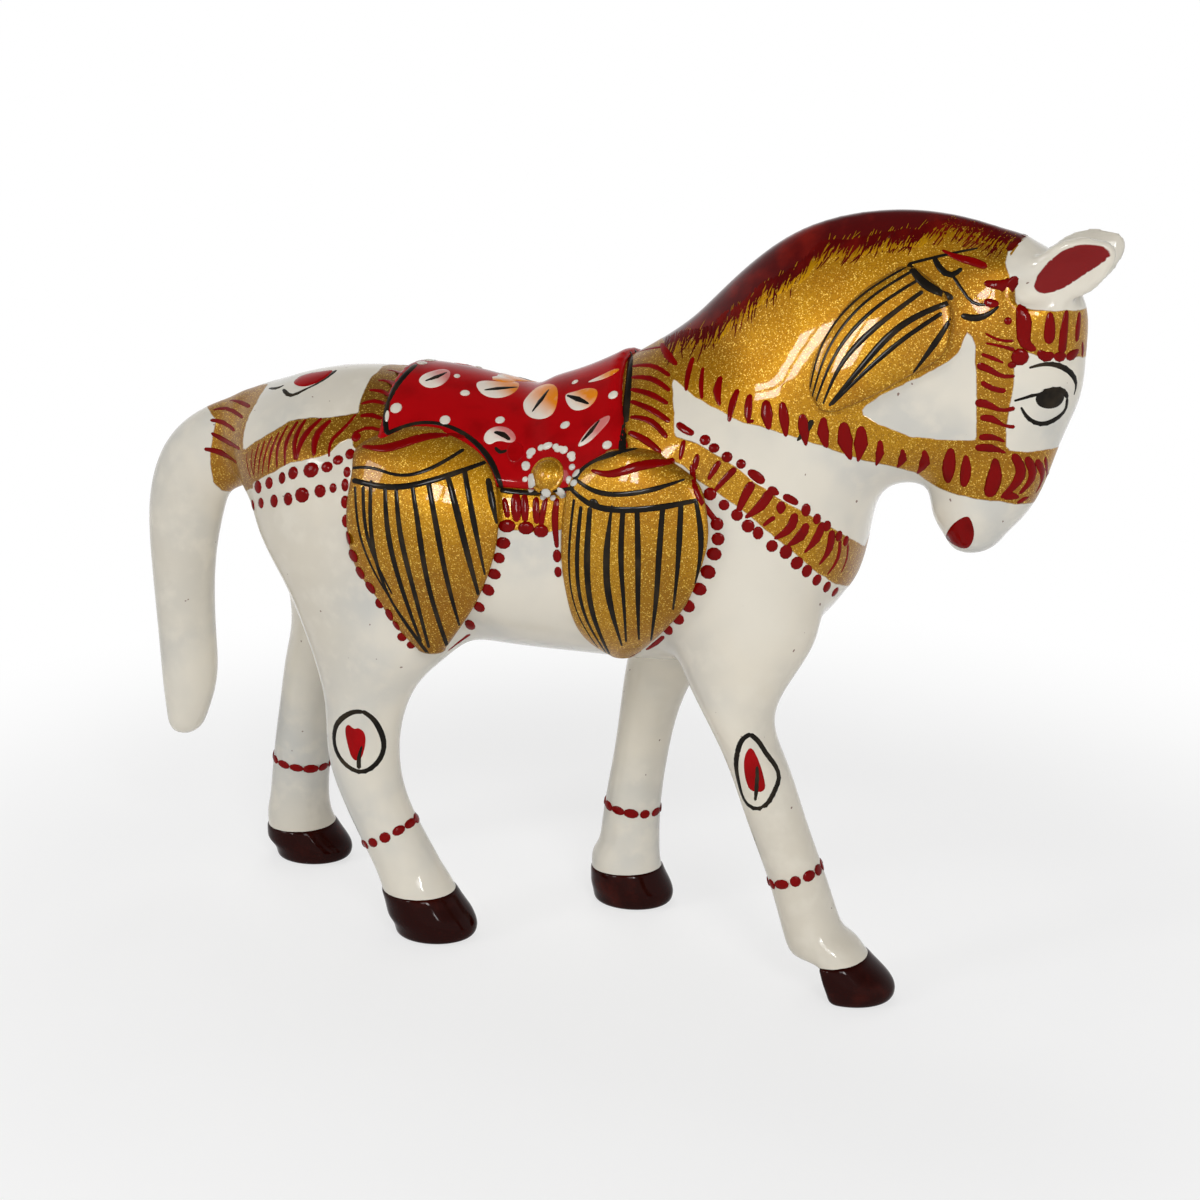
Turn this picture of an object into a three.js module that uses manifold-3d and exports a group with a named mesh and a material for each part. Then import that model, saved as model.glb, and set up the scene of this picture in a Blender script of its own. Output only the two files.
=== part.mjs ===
// Enamelled metal horse figurine, walking, with bowed head and trappings in low relief.
// The body is a hollow casting in two halves that lap along the middle plane. Legs, hooves, tail,
// ears and trappings are castings of their own, each pegged into what carries it.
// Millimetres. +X points to the head, +Y to the horse's left side, +Z up. The origin lies on the
// floor, under the middle of the figure.

import * as THREE from "three";
import { mergeVertices } from "three/addons/utils/BufferGeometryUtils.js";
import Module from "manifold-3d";

const wasm = await Module();
wasm.setup();

// Castings and their joints
const WALL = 2.2; // wall of the hollow body
const GAP = 0.3; // room left for solder between two castings
const SEAM_LIP = 1.6; // reach of the right half's lip into the left half
const SPIGOT_RADIUS = 1.9; // peg of a leg in the body
const SPIGOT_LENGTH = 3.6;
const FOOT_PEG_RADIUS = 1.3; // peg of a leg in its hoof
const FOOT_PEG_LENGTH = 1.8;
const TAIL_PEG_RADIUS = 1.8; // peg of the tail in the rump
const TAIL_PEG_LENGTH = 4.5;
const EAR_PEG_RADIUS = 0.9; // peg of an ear in the head
const EAR_PEG_LENGTH = 1;
const STUD_RADIUS = 1; // peg on the back of a bag, a tassel or a medallion
const STUD_LENGTH = 1.2; // its reach into the body

// Barrel
const BELLY_HEIGHT = 30.5; // floor to the underside
const BARREL_DEPTH = 26.5; // underside to the seat of the saddle
const BARREL_WIDTH = 26;
const RUMP_LENGTH = 38.5; // middle of the barrel to the back of the rump
const BREAST_LENGTH = 25; // middle of the barrel to the breast

// Neck, head and ears
const NECK_X = 3; // where the crest leaves the back
const NECK_RISE = 3; // that point above the seat
const NECK_LENGTH = 37.5; // from there to the poll
const NECK_WIDTH = 17;
const HEAD_LENGTH = 30; // poll to muzzle
const HEAD_WIDTH = 12; // over the eyes
const EAR_LENGTH = 8;
const EAR_WIDTH = 5.4;
const EAR_THICKNESS = 2.6;
const EAR_SPREAD = 7; // between the roots of the two ears

// Tail
const TAIL_LENGTH = 38; // root to tip
const TAIL_WIDTH = 7;
const TAIL_SETBACK = 2; // its joint behind the rump's last section
const TAIL_DROP = 6; // its root below the seat
const TAIL_PEG_DROP = 1.8; // its peg below the root

// Legs and hooves. A step is where the middle of a sole stands: ahead of the breast for a foreleg,
// ahead of the back of the rump for a hind leg.
const TRACK = 15; // between the soles of a pair
const LEG_WIDTH = 6;
const LEG_STUB = 2; // the body reaches this far below the belly at each leg
const FORE_RIGHT_STEP = 3.4;
const FORE_LEFT_STEP = -23.9;
const HIND_RIGHT_STEP = 22.9;
const HIND_LEFT_STEP = 1.3;
const HOOF_LENGTH = 8.6;
const HOOF_WIDTH = 7.6;
const HOOF_HEIGHT = 4; // to the middle of the coronet
const CORONET_BACK = 1.2; // the coronet's middle behind the sole's

// Trappings
const SADDLE_THICKNESS = 0.7;
const SADDLE_ROOM = 0.5; // between the saddle's edge and a bag
const SADDLE_FRONT_X = 6.8; // front edge at the flap
const SADDLE_FRONT_SLOPE = 3.4; // how far that edge leans back towards the top
const SADDLE_REAR_X = -19.4;
const SADDLE_REAR_SLOPE = 0.8;
const SADDLE_FLAP_DROP = 8.2; // seat to the lower edge of the flap
const BAG_WIDTH = 16;
const BAG_SPACING = 6.4; // between the rear and the front bag
const BAG_MIDDLE_X = -2.5; // middle of that space
const BAG_BULGE = 1.7; // how far a bag stands proud of the barrel
const TASSEL_LENGTH = 13.4;
const TASSEL_BULGE = 1.1;
const RELIEF_RIM = 0.35; // the widest line of a bag or tassel above what carries it
const MEDALLION_RADIUS = 1.8;
const MEDALLION_HEIGHT = 0.9;
const MEDALLION_AHEAD = 1.3; // of the middle between the bags
const MEDALLION_EDGE = 1.7; // the flap's lower edge to the middle of the medallion

// Facets
const SIDES = { body: 18, limb: 12, peg: 8, relief: 12 };
const SPAN_STEPS = 2; // rings from one section to the next
const DOME_STEPS = 2; // rings that round off an end
const domeTurns = [...Array(DOME_STEPS - 1).keys()].map((k) => ((k + 1) / DOME_STEPS) * (Math.PI / 2));
const REACH = 300; // larger than the figure, for cutting planes

const BACK_HEIGHT = BELLY_HEIGHT + BARREL_DEPTH;
const LEG_JOINT_HEIGHT = BELLY_HEIGHT - LEG_STUB;
const FLAP_HEIGHT = BACK_HEIGHT - SADDLE_FLAP_DROP;

const ENAMEL = { white: 0xe6e3dc, gold: 0xb8862d, red: 0xa50d12, brown: 0x3a0f0b };

function enamel(colour, metalness = 0) {
  return new THREE.MeshStandardMaterial({ color: colour, roughness: 0.2, metalness });
}

// A section of a loft is an egg in a plane that holds the Y axis. It is given by the two points
// where it meets the side view's outline, a half width, and how much narrower it is towards a.
function section(a, b, y, half, egg = 0) {
  const upper = new THREE.Vector3(a[0], y, a[1]);
  const lower = new THREE.Vector3(b[0], y, b[1]);
  return {
    centre: upper.clone().add(lower).multiplyScalar(0.5),
    tall: upper.sub(lower).multiplyScalar(0.5),
    shape: new THREE.Vector3(half, egg, 0),
  };
}

// A closed skin through the sections, grown outwards by grow. Each end is a dome as long as the
// given share of its half width, or flat where that is zero. A skin that shrinks by more than
// its dome draws its end in.
function loft(sections, { sides, grow = 0, domes = [0, 0] }) {
  const smooth = (key) => new THREE.CatmullRomCurve3(sections.map((s) => s[key]));
  const [centres, talls, shapes] = [smooth("centre"), smooth("tall"), smooth("shape")];
  const still = new THREE.Vector3();
  const ends = [0, 1].map((t) => {
    const length = domes[t] ? domes[t] * shapes.getPoint(t).x + grow : 0;
    const pole = centres.getTangent(t).multiplyScalar((2 * t - 1) * length);
    return { pole, ring: length < 0 ? pole : still, turns: length > 0 ? domeTurns : [] };
  });
  const domeRings = (t) =>
    ends[t].turns.map((turn) => ({
      t,
      shrink: Math.cos(turn),
      shift: ends[t].pole.clone().multiplyScalar(Math.sin(turn)),
    }));
  const last = (sections.length - 1) * SPAN_STEPS;
  const spans = [...Array(last + 1).keys()].map((i) => ({ t: i / last, shrink: 1, shift: still }));
  spans[0].shift = ends[0].ring;
  spans[last].shift = ends[1].ring;
  const rings = [...domeRings(0).reverse(), ...spans, ...domeRings(1)];

  const points = [];
  for (const { t, shrink, shift } of rings) {
    const centre = centres.getPoint(t).add(shift);
    const tall = talls.getPoint(t);
    tall.setLength((tall.length() + grow) * shrink);
    const shape = shapes.getPoint(t);
    const half = (shape.x + grow) * shrink;
    for (let i = 0; i < sides; i++) {
      const turn = (2 * Math.PI * i) / sides;
      const point = centre.clone().addScaledVector(tall, Math.cos(turn));
      point.y += half * Math.sin(turn) * (1 - shape.y * Math.cos(turn));
      points.push(point);
    }
  }
  const start = points.push(centres.getPoint(0).add(ends[0].pole)) - 1;
  const end = points.push(centres.getPoint(1).add(ends[1].pole)) - 1;
  const far = (rings.length - 1) * sides;
  const faces = [];
  for (let i = 0; i < sides; i++) {
    const next = (i + 1) % sides;
    for (let p = 0; p < far; p += sides) {
      const q = p + sides;
      faces.push([p + i, p + next, q + next], [p + i, q + next, q + i]);
    }
    faces.push([start, next, i], [end, far + i, far + next]);
  }
  return facing(points, faces);
}

// A geometry whose faces point outwards whichever way round they were listed.
function facing(points, faces) {
  const cross = new THREE.Vector3();
  let volume = 0;
  for (const [a, b, c] of faces) {
    volume += points[a].dot(cross.crossVectors(points[b], points[c]));
  }
  const index = faces.flatMap(([a, b, c]) => (volume < 0 ? [a, c, b] : [a, b, c]));
  return new THREE.BufferGeometry().setFromPoints(points).setIndex(index);
}

function solid(geometry) {
  geometry.deleteAttribute("normal");
  geometry.deleteAttribute("uv");
  const merged = mergeVertices(geometry, 1e-4);
  const vertProperties = new Float32Array(merged.getAttribute("position").array);
  const triVerts = new Uint32Array(merged.index.array);
  return new wasm.Manifold(new wasm.Mesh({ numProp: 3, vertProperties, triVerts }));
}

function geometryOf(made) {
  const { vertProperties, triVerts } = made.getMesh();
  return new THREE.BufferGeometry()
    .setAttribute("position", new THREE.BufferAttribute(vertProperties, 3))
    .setIndex(new THREE.BufferAttribute(triVerts, 1));
}

// All that lies on the side of a plane that its normal points to.
function beyond(point, normal) {
  const turn = new THREE.Quaternion().setFromUnitVectors(up, normal);
  const box = new THREE.BoxGeometry(REACH, REACH, REACH).translate(0, 0, REACH / 2);
  return solid(box.applyQuaternion(turn).translate(point.x, point.y, point.z));
}

// All that lies within an outline in the side view.
function prism(outline) {
  const face = new THREE.Shape(outline.map(([x, z]) => new THREE.Vector2(x, z)));
  const bar = new THREE.ExtrudeGeometry(face, { depth: REACH, bevelEnabled: false });
  return solid(bar.translate(0, 0, -REACH / 2).rotateX(Math.PI / 2));
}

function rod(from, to, radius) {
  const along = to.clone().sub(from);
  const turn = new THREE.Quaternion().setFromUnitVectors(left, along.clone().normalize());
  const bar = new THREE.CylinderGeometry(radius, radius, along.length(), SIDES.peg);
  const middle = from.clone().addScaledVector(along, 0.5);
  return solid(bar.applyQuaternion(turn).translate(middle.x, middle.y, middle.z));
}

// A peg that crosses a joint's face along a direction, and the hole that takes it.
function pegAndHole(face, along, radius, length) {
  const root = face.clone().addScaledVector(along, -GAP - radius / 2);
  const end = face.clone().addScaledVector(along, length);
  return {
    peg: rod(root, end, radius),
    hole: rod(root, end.clone().addScaledVector(along, GAP), radius + GAP),
  };
}

const up = new THREE.Vector3(0, 0, 1);
const down = new THREE.Vector3(0, 0, -1);
const forward = new THREE.Vector3(1, 0, 0);
const backward = new THREE.Vector3(-1, 0, 0);
const left = new THREE.Vector3(0, 1, 0);
const right = new THREE.Vector3(0, -1, 0);
const hands = [
  { word: "right", side: -1, inward: left },
  { word: "left", side: 1, inward: right },
];
const figure = new THREE.Group();

function add(name, made, material) {
  const mesh = new THREE.Mesh(geometryOf(made), material);
  mesh.name = name;
  figure.add(mesh);
}

// Trunk: [place from the rump at -1 to the breast at 1, rise of the back, lift of the belly, width]
const trunkRows = [
  [-1, -0.102, 0.566, 0.385],
  [-0.935, -0.053, 0.434, 0.585],
  [-0.83, 0, 0.283, 0.785],
  [-0.7, 0.034, 0.151, 0.923],
  [-0.545, 0.038, 0.057, 0.99],
  [-0.36, 0.015, 0.015, 1],
  [-0.155, -0.034, 0, 1],
  [0, 0.008, -0.004, 0.985],
  [0.24, 0.132, -0.008, 0.97],
  [0.48, 0.208, 0.011, 0.92],
  [0.72, 0.151, 0.087, 0.83],
  [0.9, 0, 0.208, 0.66],
  [1, -0.189, 0.34, 0.475],
];
const TRUNK_EGG = 0.05;
const trunkSections = trunkRows.map(([place, rise, lift, width]) => {
  const x = place * (place < 0 ? RUMP_LENGTH : BREAST_LENGTH);
  const back = [x, BACK_HEIGHT + rise * BARREL_DEPTH];
  const belly = [x, BELLY_HEIGHT + lift * BARREL_DEPTH];
  return section(back, belly, 0, (width * BARREL_WIDTH) / 2, TRUNK_EGG);
});

// Neck: [crest, throat, width, egg], from where the crest leaves the back, in lengths of the neck
const neckRows = [
  [[-0.187, -0.08], [0.293, -0.72], 1.3, 0],
  [[0, 0], [0.453, -0.667], 1.24, 0.1],
  [[0.16, 0.107], [0.592, -0.52], 1.12, 0.2],
  [[0.312, 0.253], [0.645, -0.36], 1, 0.28],
  [[0.464, 0.357], [0.699, -0.285], 0.9, 0.32],
  [[0.664, 0.405], [0.773, -0.267], 0.84, 0.32],
  [[0.861, 0.392], [0.867, -0.24], 0.78, 0.3],
  [[1, 0.352], [0.947, -0.187], 0.68, 0.2],
];
const fromNeck = ([x, z]) => [
  NECK_X + x * NECK_LENGTH,
  BACK_HEIGHT + NECK_RISE + z * NECK_LENGTH,
];
const neckSections = neckRows.map(([crest, throat, width, egg]) =>
  section(fromNeck(crest), fromNeck(throat), 0, (width * NECK_WIDTH) / 2, egg),
);

// Head: [front, back, width], down from the poll, in lengths of the head
const headRows = [
  [[0.1, -0.057], [-0.15, -0.107], 0.75],
  [[0.19, -0.19], [-0.2, -0.257], 0.93],
  [[0.203, -0.34], [-0.233, -0.423], 1],
  [[0.193, -0.483], [-0.233, -0.573], 0.98],
  [[0.147, -0.613], [-0.233, -0.69], 0.88],
  [[0.107, -0.74], [-0.243, -0.79], 0.82],
  [[0.05, -0.857], [-0.237, -0.88], 0.75],
  [[-0.017, -0.933], [-0.19, -0.947], 0.6],
];
const POLL = fromNeck([1, 0.352]);
const fromPoll = ([x, z]) => [POLL[0] + x * HEAD_LENGTH, POLL[1] + z * HEAD_LENGTH];
const headSections = headRows.map(([front, back, width]) =>
  section(fromPoll(front), fromPoll(back), 0, (width * HEAD_WIDTH) / 2),
);

function body(grow) {
  const sides = SIDES.body;
  const trunk = loft(trunkSections, { sides, grow, domes: [0.36, 0.19] });
  const neck = loft(neckSections, { sides, grow, domes: [0.09, 0.26] });
  const head = loft(headSections, { sides, grow, domes: [0.27, 0.42] });
  return solid(trunk).add(solid(neck)).add(solid(head));
}

// Each leg has two tables. Heights run from 0 on the floor to 1 at the belly and on to 2 at the
// back, and ahead is counted from the sole, in heights of the belly.
// Upper, cast with the body: [height, ahead, half length, place out from the middle, half width],
// the last three as shares of half the barrel's width.
// Lower: [height, ahead, half length, half width], the last two in widths of the leg.
const legs = [
  {
    name: "foreleg_right",
    hoof: "hoof_front_right",
    x: BREAST_LENGTH + FORE_RIGHT_STEP,
    side: -1,
    coronetLean: 18,
    upper: [
      [1.547, -0.423, 0.308, 0.477, 0.354],
      [1.396, -0.4, 0.462, 0.462, 0.4],
      [1.245, -0.38, 0.554, 0.469, 0.4],
      [1.02, -0.393, 0.4, 0.523, 0.346],
    ],
    lower: [
      [0.9, -0.38, 0.567, 0.633],
      [0.755, -0.323, 0.492, 0.55],
      [0.56, -0.251, 0.492, 0.5],
      [0.36, -0.175, 0.492, 0.483],
      [0.21, -0.126, 0.508, 0.5],
      [0.08, -0.082, 0.533, 0.533],
    ],
  },
  {
    name: "foreleg_left",
    hoof: "hoof_front_left",
    x: BREAST_LENGTH + FORE_LEFT_STEP,
    side: 1,
    coronetLean: 4,
    upper: [
      [1.547, 0.472, 0.308, 0.477, 0.354],
      [1.396, 0.439, 0.462, 0.462, 0.4],
      [1.245, 0.384, 0.554, 0.469, 0.4],
      [1.02, 0.21, 0.431, 0.523, 0.346],
    ],
    lower: [
      [0.9, 0.121, 0.7, 0.633],
      [0.755, 0.069, 0.55, 0.55],
      [0.56, 0.031, 0.492, 0.5],
      [0.36, 0, 0.517, 0.483],
      [0.21, -0.01, 0.55, 0.5],
      [0.08, -0.01, 0.567, 0.533],
    ],
  },
  {
    name: "hindleg_right",
    hoof: "hoof_rear_right",
    x: HIND_RIGHT_STEP - RUMP_LENGTH,
    side: -1,
    coronetLean: 16,
    upper: [
      [1.74, -0.282, 0.462, 0.454, 0.4],
      [1.51, -0.269, 0.8, 0.5, 0.492],
      [1.245, -0.197, 0.769, 0.523, 0.477],
      [1.057, -0.167, 0.669, 0.546, 0.408],
    ],
    lower: [
      [0.92, -0.207, 0.983, 0.75],
      [0.79, -0.236, 0.717, 0.633],
      [0.62, -0.249, 0.633, 0.567],
      [0.46, -0.21, 0.583, 0.533],
      [0.3, -0.13, 0.608, 0.517],
      [0.18, -0.07, 0.625, 0.533],
      [0.08, -0.03, 0.65, 0.55],
    ],
  },
  {
    name: "hindleg_left",
    hoof: "hoof_rear_left",
    x: HIND_LEFT_STEP - RUMP_LENGTH,
    side: 1,
    coronetLean: 3,
    upper: [
      [1.74, 0.321, 0.462, 0.454, 0.4],
      [1.51, 0.315, 0.8, 0.5, 0.492],
      [1.245, 0.259, 0.723, 0.523, 0.477],
      [1.057, 0.19, 0.538, 0.546, 0.408],
    ],
    lower: [
      [0.92, 0.115, 0.783, 0.75],
      [0.79, 0.059, 0.65, 0.633],
      [0.62, 0.013, 0.583, 0.567],
      [0.46, -0.021, 0.558, 0.533],
      [0.3, -0.044, 0.558, 0.517],
      [0.18, -0.052, 0.583, 0.533],
      [0.08, -0.049, 0.617, 0.55],
    ],
  },
];

function legSections(leg) {
  const barrel = BARREL_WIDTH / 2;
  const level = (x, z, y, long, half) => section([x + long, z], [x - long, z], leg.side * y, half);
  const upper = leg.upper.map(([height, ahead, long, out, half]) => {
    const z = BELLY_HEIGHT + (height - 1) * BARREL_DEPTH;
    return level(leg.x + ahead * BELLY_HEIGHT, z, out * barrel, long * barrel, half * barrel);
  });
  const lower = leg.lower.map(([height, ahead, long, half]) => {
    const [x, z] = [leg.x + ahead * BELLY_HEIGHT, height * BELLY_HEIGHT];
    return level(x, z, TRACK / 2, long * LEG_WIDTH, half * LEG_WIDTH);
  });
  return [...upper, ...lower];
}

function legLoft(leg, grow = 0) {
  return solid(loft(legSections(leg), { sides: SIDES.limb, grow, domes: [0.22, 0] }));
}

// The middle of a leg where it meets the body, and the way the leg runs there.
function legJoint(leg) {
  const sections = legSections(leg);
  const i = sections.findIndex((s) => s.centre.z <= LEG_JOINT_HEIGHT);
  const [above, below] = [sections[i - 1].centre, sections[i].centre];
  const share = (above.z - LEG_JOINT_HEIGHT) / (above.z - below.z);
  return { point: above.clone().lerp(below, share), axis: above.clone().sub(below).normalize() };
}

// Hoof: [height, ahead of the sole's middle, length, width]
const hoofRows = [
  [0, 0, 0.95, 0.92],
  [0.3, 0.012, 1, 1],
  [0.65, -0.047, 0.88, 0.98],
  [1, -0.14, 0.7, 0.92],
  [1.4, -0.22, 0.6, 0.86],
];

function hoofLoft(leg) {
  const sections = hoofRows.map(([height, ahead, length, width]) => {
    const [x, z] = [leg.x + ahead * HOOF_LENGTH, height * HOOF_HEIGHT];
    const long = (length * HOOF_LENGTH) / 2;
    return section([x + long, z], [x - long, z], (leg.side * TRACK) / 2, (width * HOOF_WIDTH) / 2);
  });
  return solid(loft(sections, { sides: SIDES.limb }));
}

// The body with the upper end of each leg, which is cast with it.
function torso(grow) {
  const above = beyond(new THREE.Vector3(0, 0, LEG_JOINT_HEIGHT), up);
  return legs.reduce((sum, leg) => sum.add(legLoft(leg, grow).intersect(above)), body(grow));
}

const torsoRoom = torso(GAP);
const carrier = new THREE.Mesh(geometryOf(torso(0)), new THREE.MeshStandardMaterial());
const sockets = [];

// Where a line from outside first meets the torso, and which way the torso faces there.
function meet(origin, direction) {
  const [hit] = new THREE.Raycaster(origin, direction).intersectObject(carrier);
  return { point: hit.point, normal: hit.face.normal };
}

function flank(x, z, hand) {
  return meet(new THREE.Vector3(x, hand.side * REACH, z), hand.inward);
}

for (const leg of legs) {
  const whole = legLoft(leg);
  const joint = legJoint(leg);
  const spigot = pegAndHole(joint.point, joint.axis, SPIGOT_RADIUS, SPIGOT_LENGTH);
  sockets.push(spigot.hole);

  const lean = THREE.MathUtils.degToRad(leg.coronetLean);
  const shank = new THREE.Vector3(-Math.sin(lean), 0, Math.cos(lean));
  const sole = shank.clone().negate();
  const coronet = new THREE.Vector3(leg.x - CORONET_BACK, (leg.side * TRACK) / 2, HOOF_HEIGHT);
  const foot = pegAndHole(coronet, sole, FOOT_PEG_RADIUS, FOOT_PEG_LENGTH);

  const shin = whole
    .intersect(beyond(joint.point.clone().addScaledVector(down, GAP), down))
    .intersect(beyond(coronet.clone().addScaledVector(shank, GAP), shank));
  add(leg.name, shin.add(spigot.peg).add(foot.peg), enamel(ENAMEL.white));
  const hoof = hoofLoft(leg).intersect(beyond(coronet, sole));
  add(leg.hoof, hoof.subtract(foot.hole), enamel(ENAMEL.brown));
}

// Tail: [outer, inner, width], from its root, in lengths of the tail
const tailRows = [
  [[0.118, 0.111], [0.118, -0.118], 0.95],
  [[0, 0.079], [0.013, -0.176], 1],
  [[-0.113, 0.032], [-0.034, -0.2], 1],
  [[-0.213, -0.055], [-0.061, -0.263], 1],
  [[-0.271, -0.197], [-0.082, -0.342], 1],
  [[-0.287, -0.395], [-0.097, -0.447], 0.97],
  [[-0.287, -0.632], [-0.103, -0.632], 0.94],
  [[-0.282, -0.789], [-0.124, -0.776], 0.83],
  [[-0.266, -0.884], [-0.161, -0.879], 0.6],
];
const TAIL_ROOT = [-RUMP_LENGTH - TAIL_SETBACK, BACK_HEIGHT - TAIL_DROP];
const fromTail = ([x, z]) => [TAIL_ROOT[0] + x * TAIL_LENGTH, TAIL_ROOT[1] + z * TAIL_LENGTH];
const tailSections = tailRows.map(([outer, inner, width]) =>
  section(fromTail(outer), fromTail(inner), 0, (width * TAIL_WIDTH) / 2),
);
const tailWhole = solid(loft(tailSections, { sides: SIDES.limb, domes: [0.3, 0.86] }));
const tailFace = new THREE.Vector3(TAIL_ROOT[0], 0, TAIL_ROOT[1] - TAIL_PEG_DROP);
const tailPeg = pegAndHole(tailFace, forward, TAIL_PEG_RADIUS, TAIL_PEG_LENGTH);
const tailStub = tailWhole.intersect(beyond(tailFace, forward));
sockets.push(tailPeg.hole);
const tailBehind = beyond(tailFace.clone().addScaledVector(backward, GAP), backward);
add("tail", tailWhole.intersect(tailBehind).add(tailPeg.peg), enamel(ENAMEL.white));

// Ears: [place along the ear, width]
const earRows = [
  [-0.2, 0.5],
  [0.12, 0.8],
  [0.4, 1],
  [0.7, 0.86],
  [0.93, 0.45],
];
const EAR_LEAN = 62; // from upright, towards the face
const EAR_SPLAY = 10; // outwards
const earRoot = fromPoll([0.05, -0.14]);

for (const { word, side } of hands) {
  const sections = earRows.map(([place, width]) => {
    const [z, half] = [place * EAR_LENGTH, (width * EAR_WIDTH) / 2];
    return section([half, z], [-half, z], 0, (width * EAR_THICKNESS) / 2);
  });
  const splay = -side * THREE.MathUtils.degToRad(EAR_SPLAY);
  const lean = THREE.MathUtils.degToRad(EAR_LEAN);
  const place = new THREE.Matrix4()
    .makeRotationFromEuler(new THREE.Euler(splay, lean, 0))
    .setPosition(earRoot[0], (side * EAR_SPREAD) / 2, earRoot[1]);
  const leaf = loft(sections, { sides: SIDES.limb, domes: [0, 1] }).applyMatrix4(place);
  const inward = down.clone().transformDirection(place);
  const tip = new THREE.Vector3(0, 0, EAR_LENGTH).applyMatrix4(place);
  const joint = pegAndHole(meet(tip, inward).point, inward, EAR_PEG_RADIUS, EAR_PEG_LENGTH);
  sockets.push(joint.hole);
  add(`ear_${word}`, solid(leaf).subtract(torsoRoom).add(joint.peg), enamel(ENAMEL.white));
}

// A piece in relief: level ovals that follow the torso's side, cut off at the torso.
// rows: [height, back edge, front edge]
const RELIEF_ROUNDING = 0.45; // of its two ends

function relief(name, rows, hand, bulge) {
  const sections = rows.map(([z, back, front]) => {
    const carried = flank((back + front) / 2, z, hand).point.y;
    const y = carried + hand.side * RELIEF_RIM;
    return section([front, z], [back, z], y, bulge - RELIEF_RIM);
  });
  const domes = [RELIEF_ROUNDING, RELIEF_ROUNDING];
  const whole = solid(loft(sections, { sides: SIDES.relief, domes }));
  const [z, back, front] = rows[Math.floor(rows.length / 2)];
  const seat = flank((back + front) / 2, z, hand).point;
  const stud = pegAndHole(seat, hand.inward, STUD_RADIUS, STUD_LENGTH);
  sockets.push(stud.hole);
  add(name, whole.subtract(torsoRoom).add(stud.peg), enamel(ENAMEL.gold, 0.4));
}

// Bags: [drop below the seat in depths of the barrel, back edge and front edge in widths of a bag]
const rearBag = {
  x: BAG_MIDDLE_X - BAG_SPACING / 2 - 0.494 * BAG_WIDTH,
  rows: [
    [0.128, -0.244, 0.069],
    [0.17, -0.425, 0.25],
    [0.264, -0.488, 0.438],
    [0.377, -0.494, 0.494],
    [0.509, -0.469, 0.494],
    [0.642, -0.4, 0.413],
    [0.755, -0.288, 0.306],
    [0.849, -0.2, 0.188],
    [0.943, -0.088, 0.056],
  ],
};
const frontBag = {
  x: BAG_MIDDLE_X + BAG_SPACING / 2 + 0.456 * BAG_WIDTH,
  rows: [
    [0.151, -0.219, 0.125],
    [0.208, -0.363, 0.313],
    [0.302, -0.438, 0.413],
    [0.415, -0.456, 0.438],
    [0.547, -0.45, 0.375],
    [0.679, -0.425, 0.25],
    [0.792, -0.375, 0.1],
    [0.887, -0.3, -0.038],
    [0.943, -0.225, -0.113],
  ],
};

function bagRows(bag) {
  return bag.rows.map(([drop, back, front]) => [
    BACK_HEIGHT - drop * BARREL_DEPTH,
    bag.x + back * BAG_WIDTH,
    bag.x + front * BAG_WIDTH,
  ]);
}

// Neck tassels: [drop, back edge, front edge], from the top, in lengths of the tassel
const tasselTop = fromPoll([-0.25, -0.073]);
const tasselRows = [
  [0.06, -0.239, -0.075],
  [0.149, -0.373, 0.06],
  [0.299, -0.537, 0.164],
  [0.448, -0.634, 0.172],
  [0.597, -0.709, 0.134],
  [0.746, -0.746, -0.09],
  [0.896, -0.731, -0.336],
  [0.978, -0.672, -0.507],
].map(([drop, back, front]) => [
  tasselTop[1] - drop * TASSEL_LENGTH,
  tasselTop[0] + back * TASSEL_LENGTH,
  tasselTop[0] + front * TASSEL_LENGTH,
]);

for (const hand of hands) {
  relief(`bag_rear_${hand.word}`, bagRows(rearBag), hand, BAG_BULGE);
  relief(`bag_front_${hand.word}`, bagRows(frontBag), hand, BAG_BULGE);
  relief(`neck_tassel_${hand.word}`, tasselRows, hand, TASSEL_BULGE);
}

// A bag's outline with room round it; its top edge clears the rounded end.
function bagOutline(rows) {
  const front = rows.map((row) => [row[2] + SADDLE_ROOM, row[0]]);
  const back = rows.map((row) => [row[1] - SADDLE_ROOM, row[0]]);
  const top = rows[0][0] + RELIEF_ROUNDING * (BAG_BULGE - RELIEF_RIM) + SADDLE_ROOM;
  const crown = (share) => [THREE.MathUtils.lerp(back[0][0], front[0][0], share), top];
  return [crown(0.25), crown(0.75), ...front, ...back.reverse()];
}

// Saddle: a sheet over the barrel, let in round the bags
const onFlap = (share) => BACK_HEIGHT + share * SADDLE_FLAP_DROP;
const saddleOutline = [
  [SADDLE_FRONT_X - SADDLE_FRONT_SLOPE, REACH / 2],
  [SADDLE_FRONT_X - SADDLE_FRONT_SLOPE, onFlap(0.5)],
  [SADDLE_FRONT_X, onFlap(-0.5)],
  [SADDLE_FRONT_X, FLAP_HEIGHT],
  [SADDLE_REAR_X, FLAP_HEIGHT],
  [SADDLE_REAR_X, onFlap(-0.35)],
  [SADDLE_REAR_X - SADDLE_REAR_SLOPE, onFlap(0.1)],
  [SADDLE_REAR_X - SADDLE_REAR_SLOPE, REACH / 2],
];
const saddleSheet = torso(GAP + SADDLE_THICKNESS)
  .subtract(torsoRoom)
  .intersect(prism(saddleOutline))
  .subtract(prism(bagOutline(bagRows(rearBag))))
  .subtract(prism(bagOutline(bagRows(frontBag))));

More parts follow.
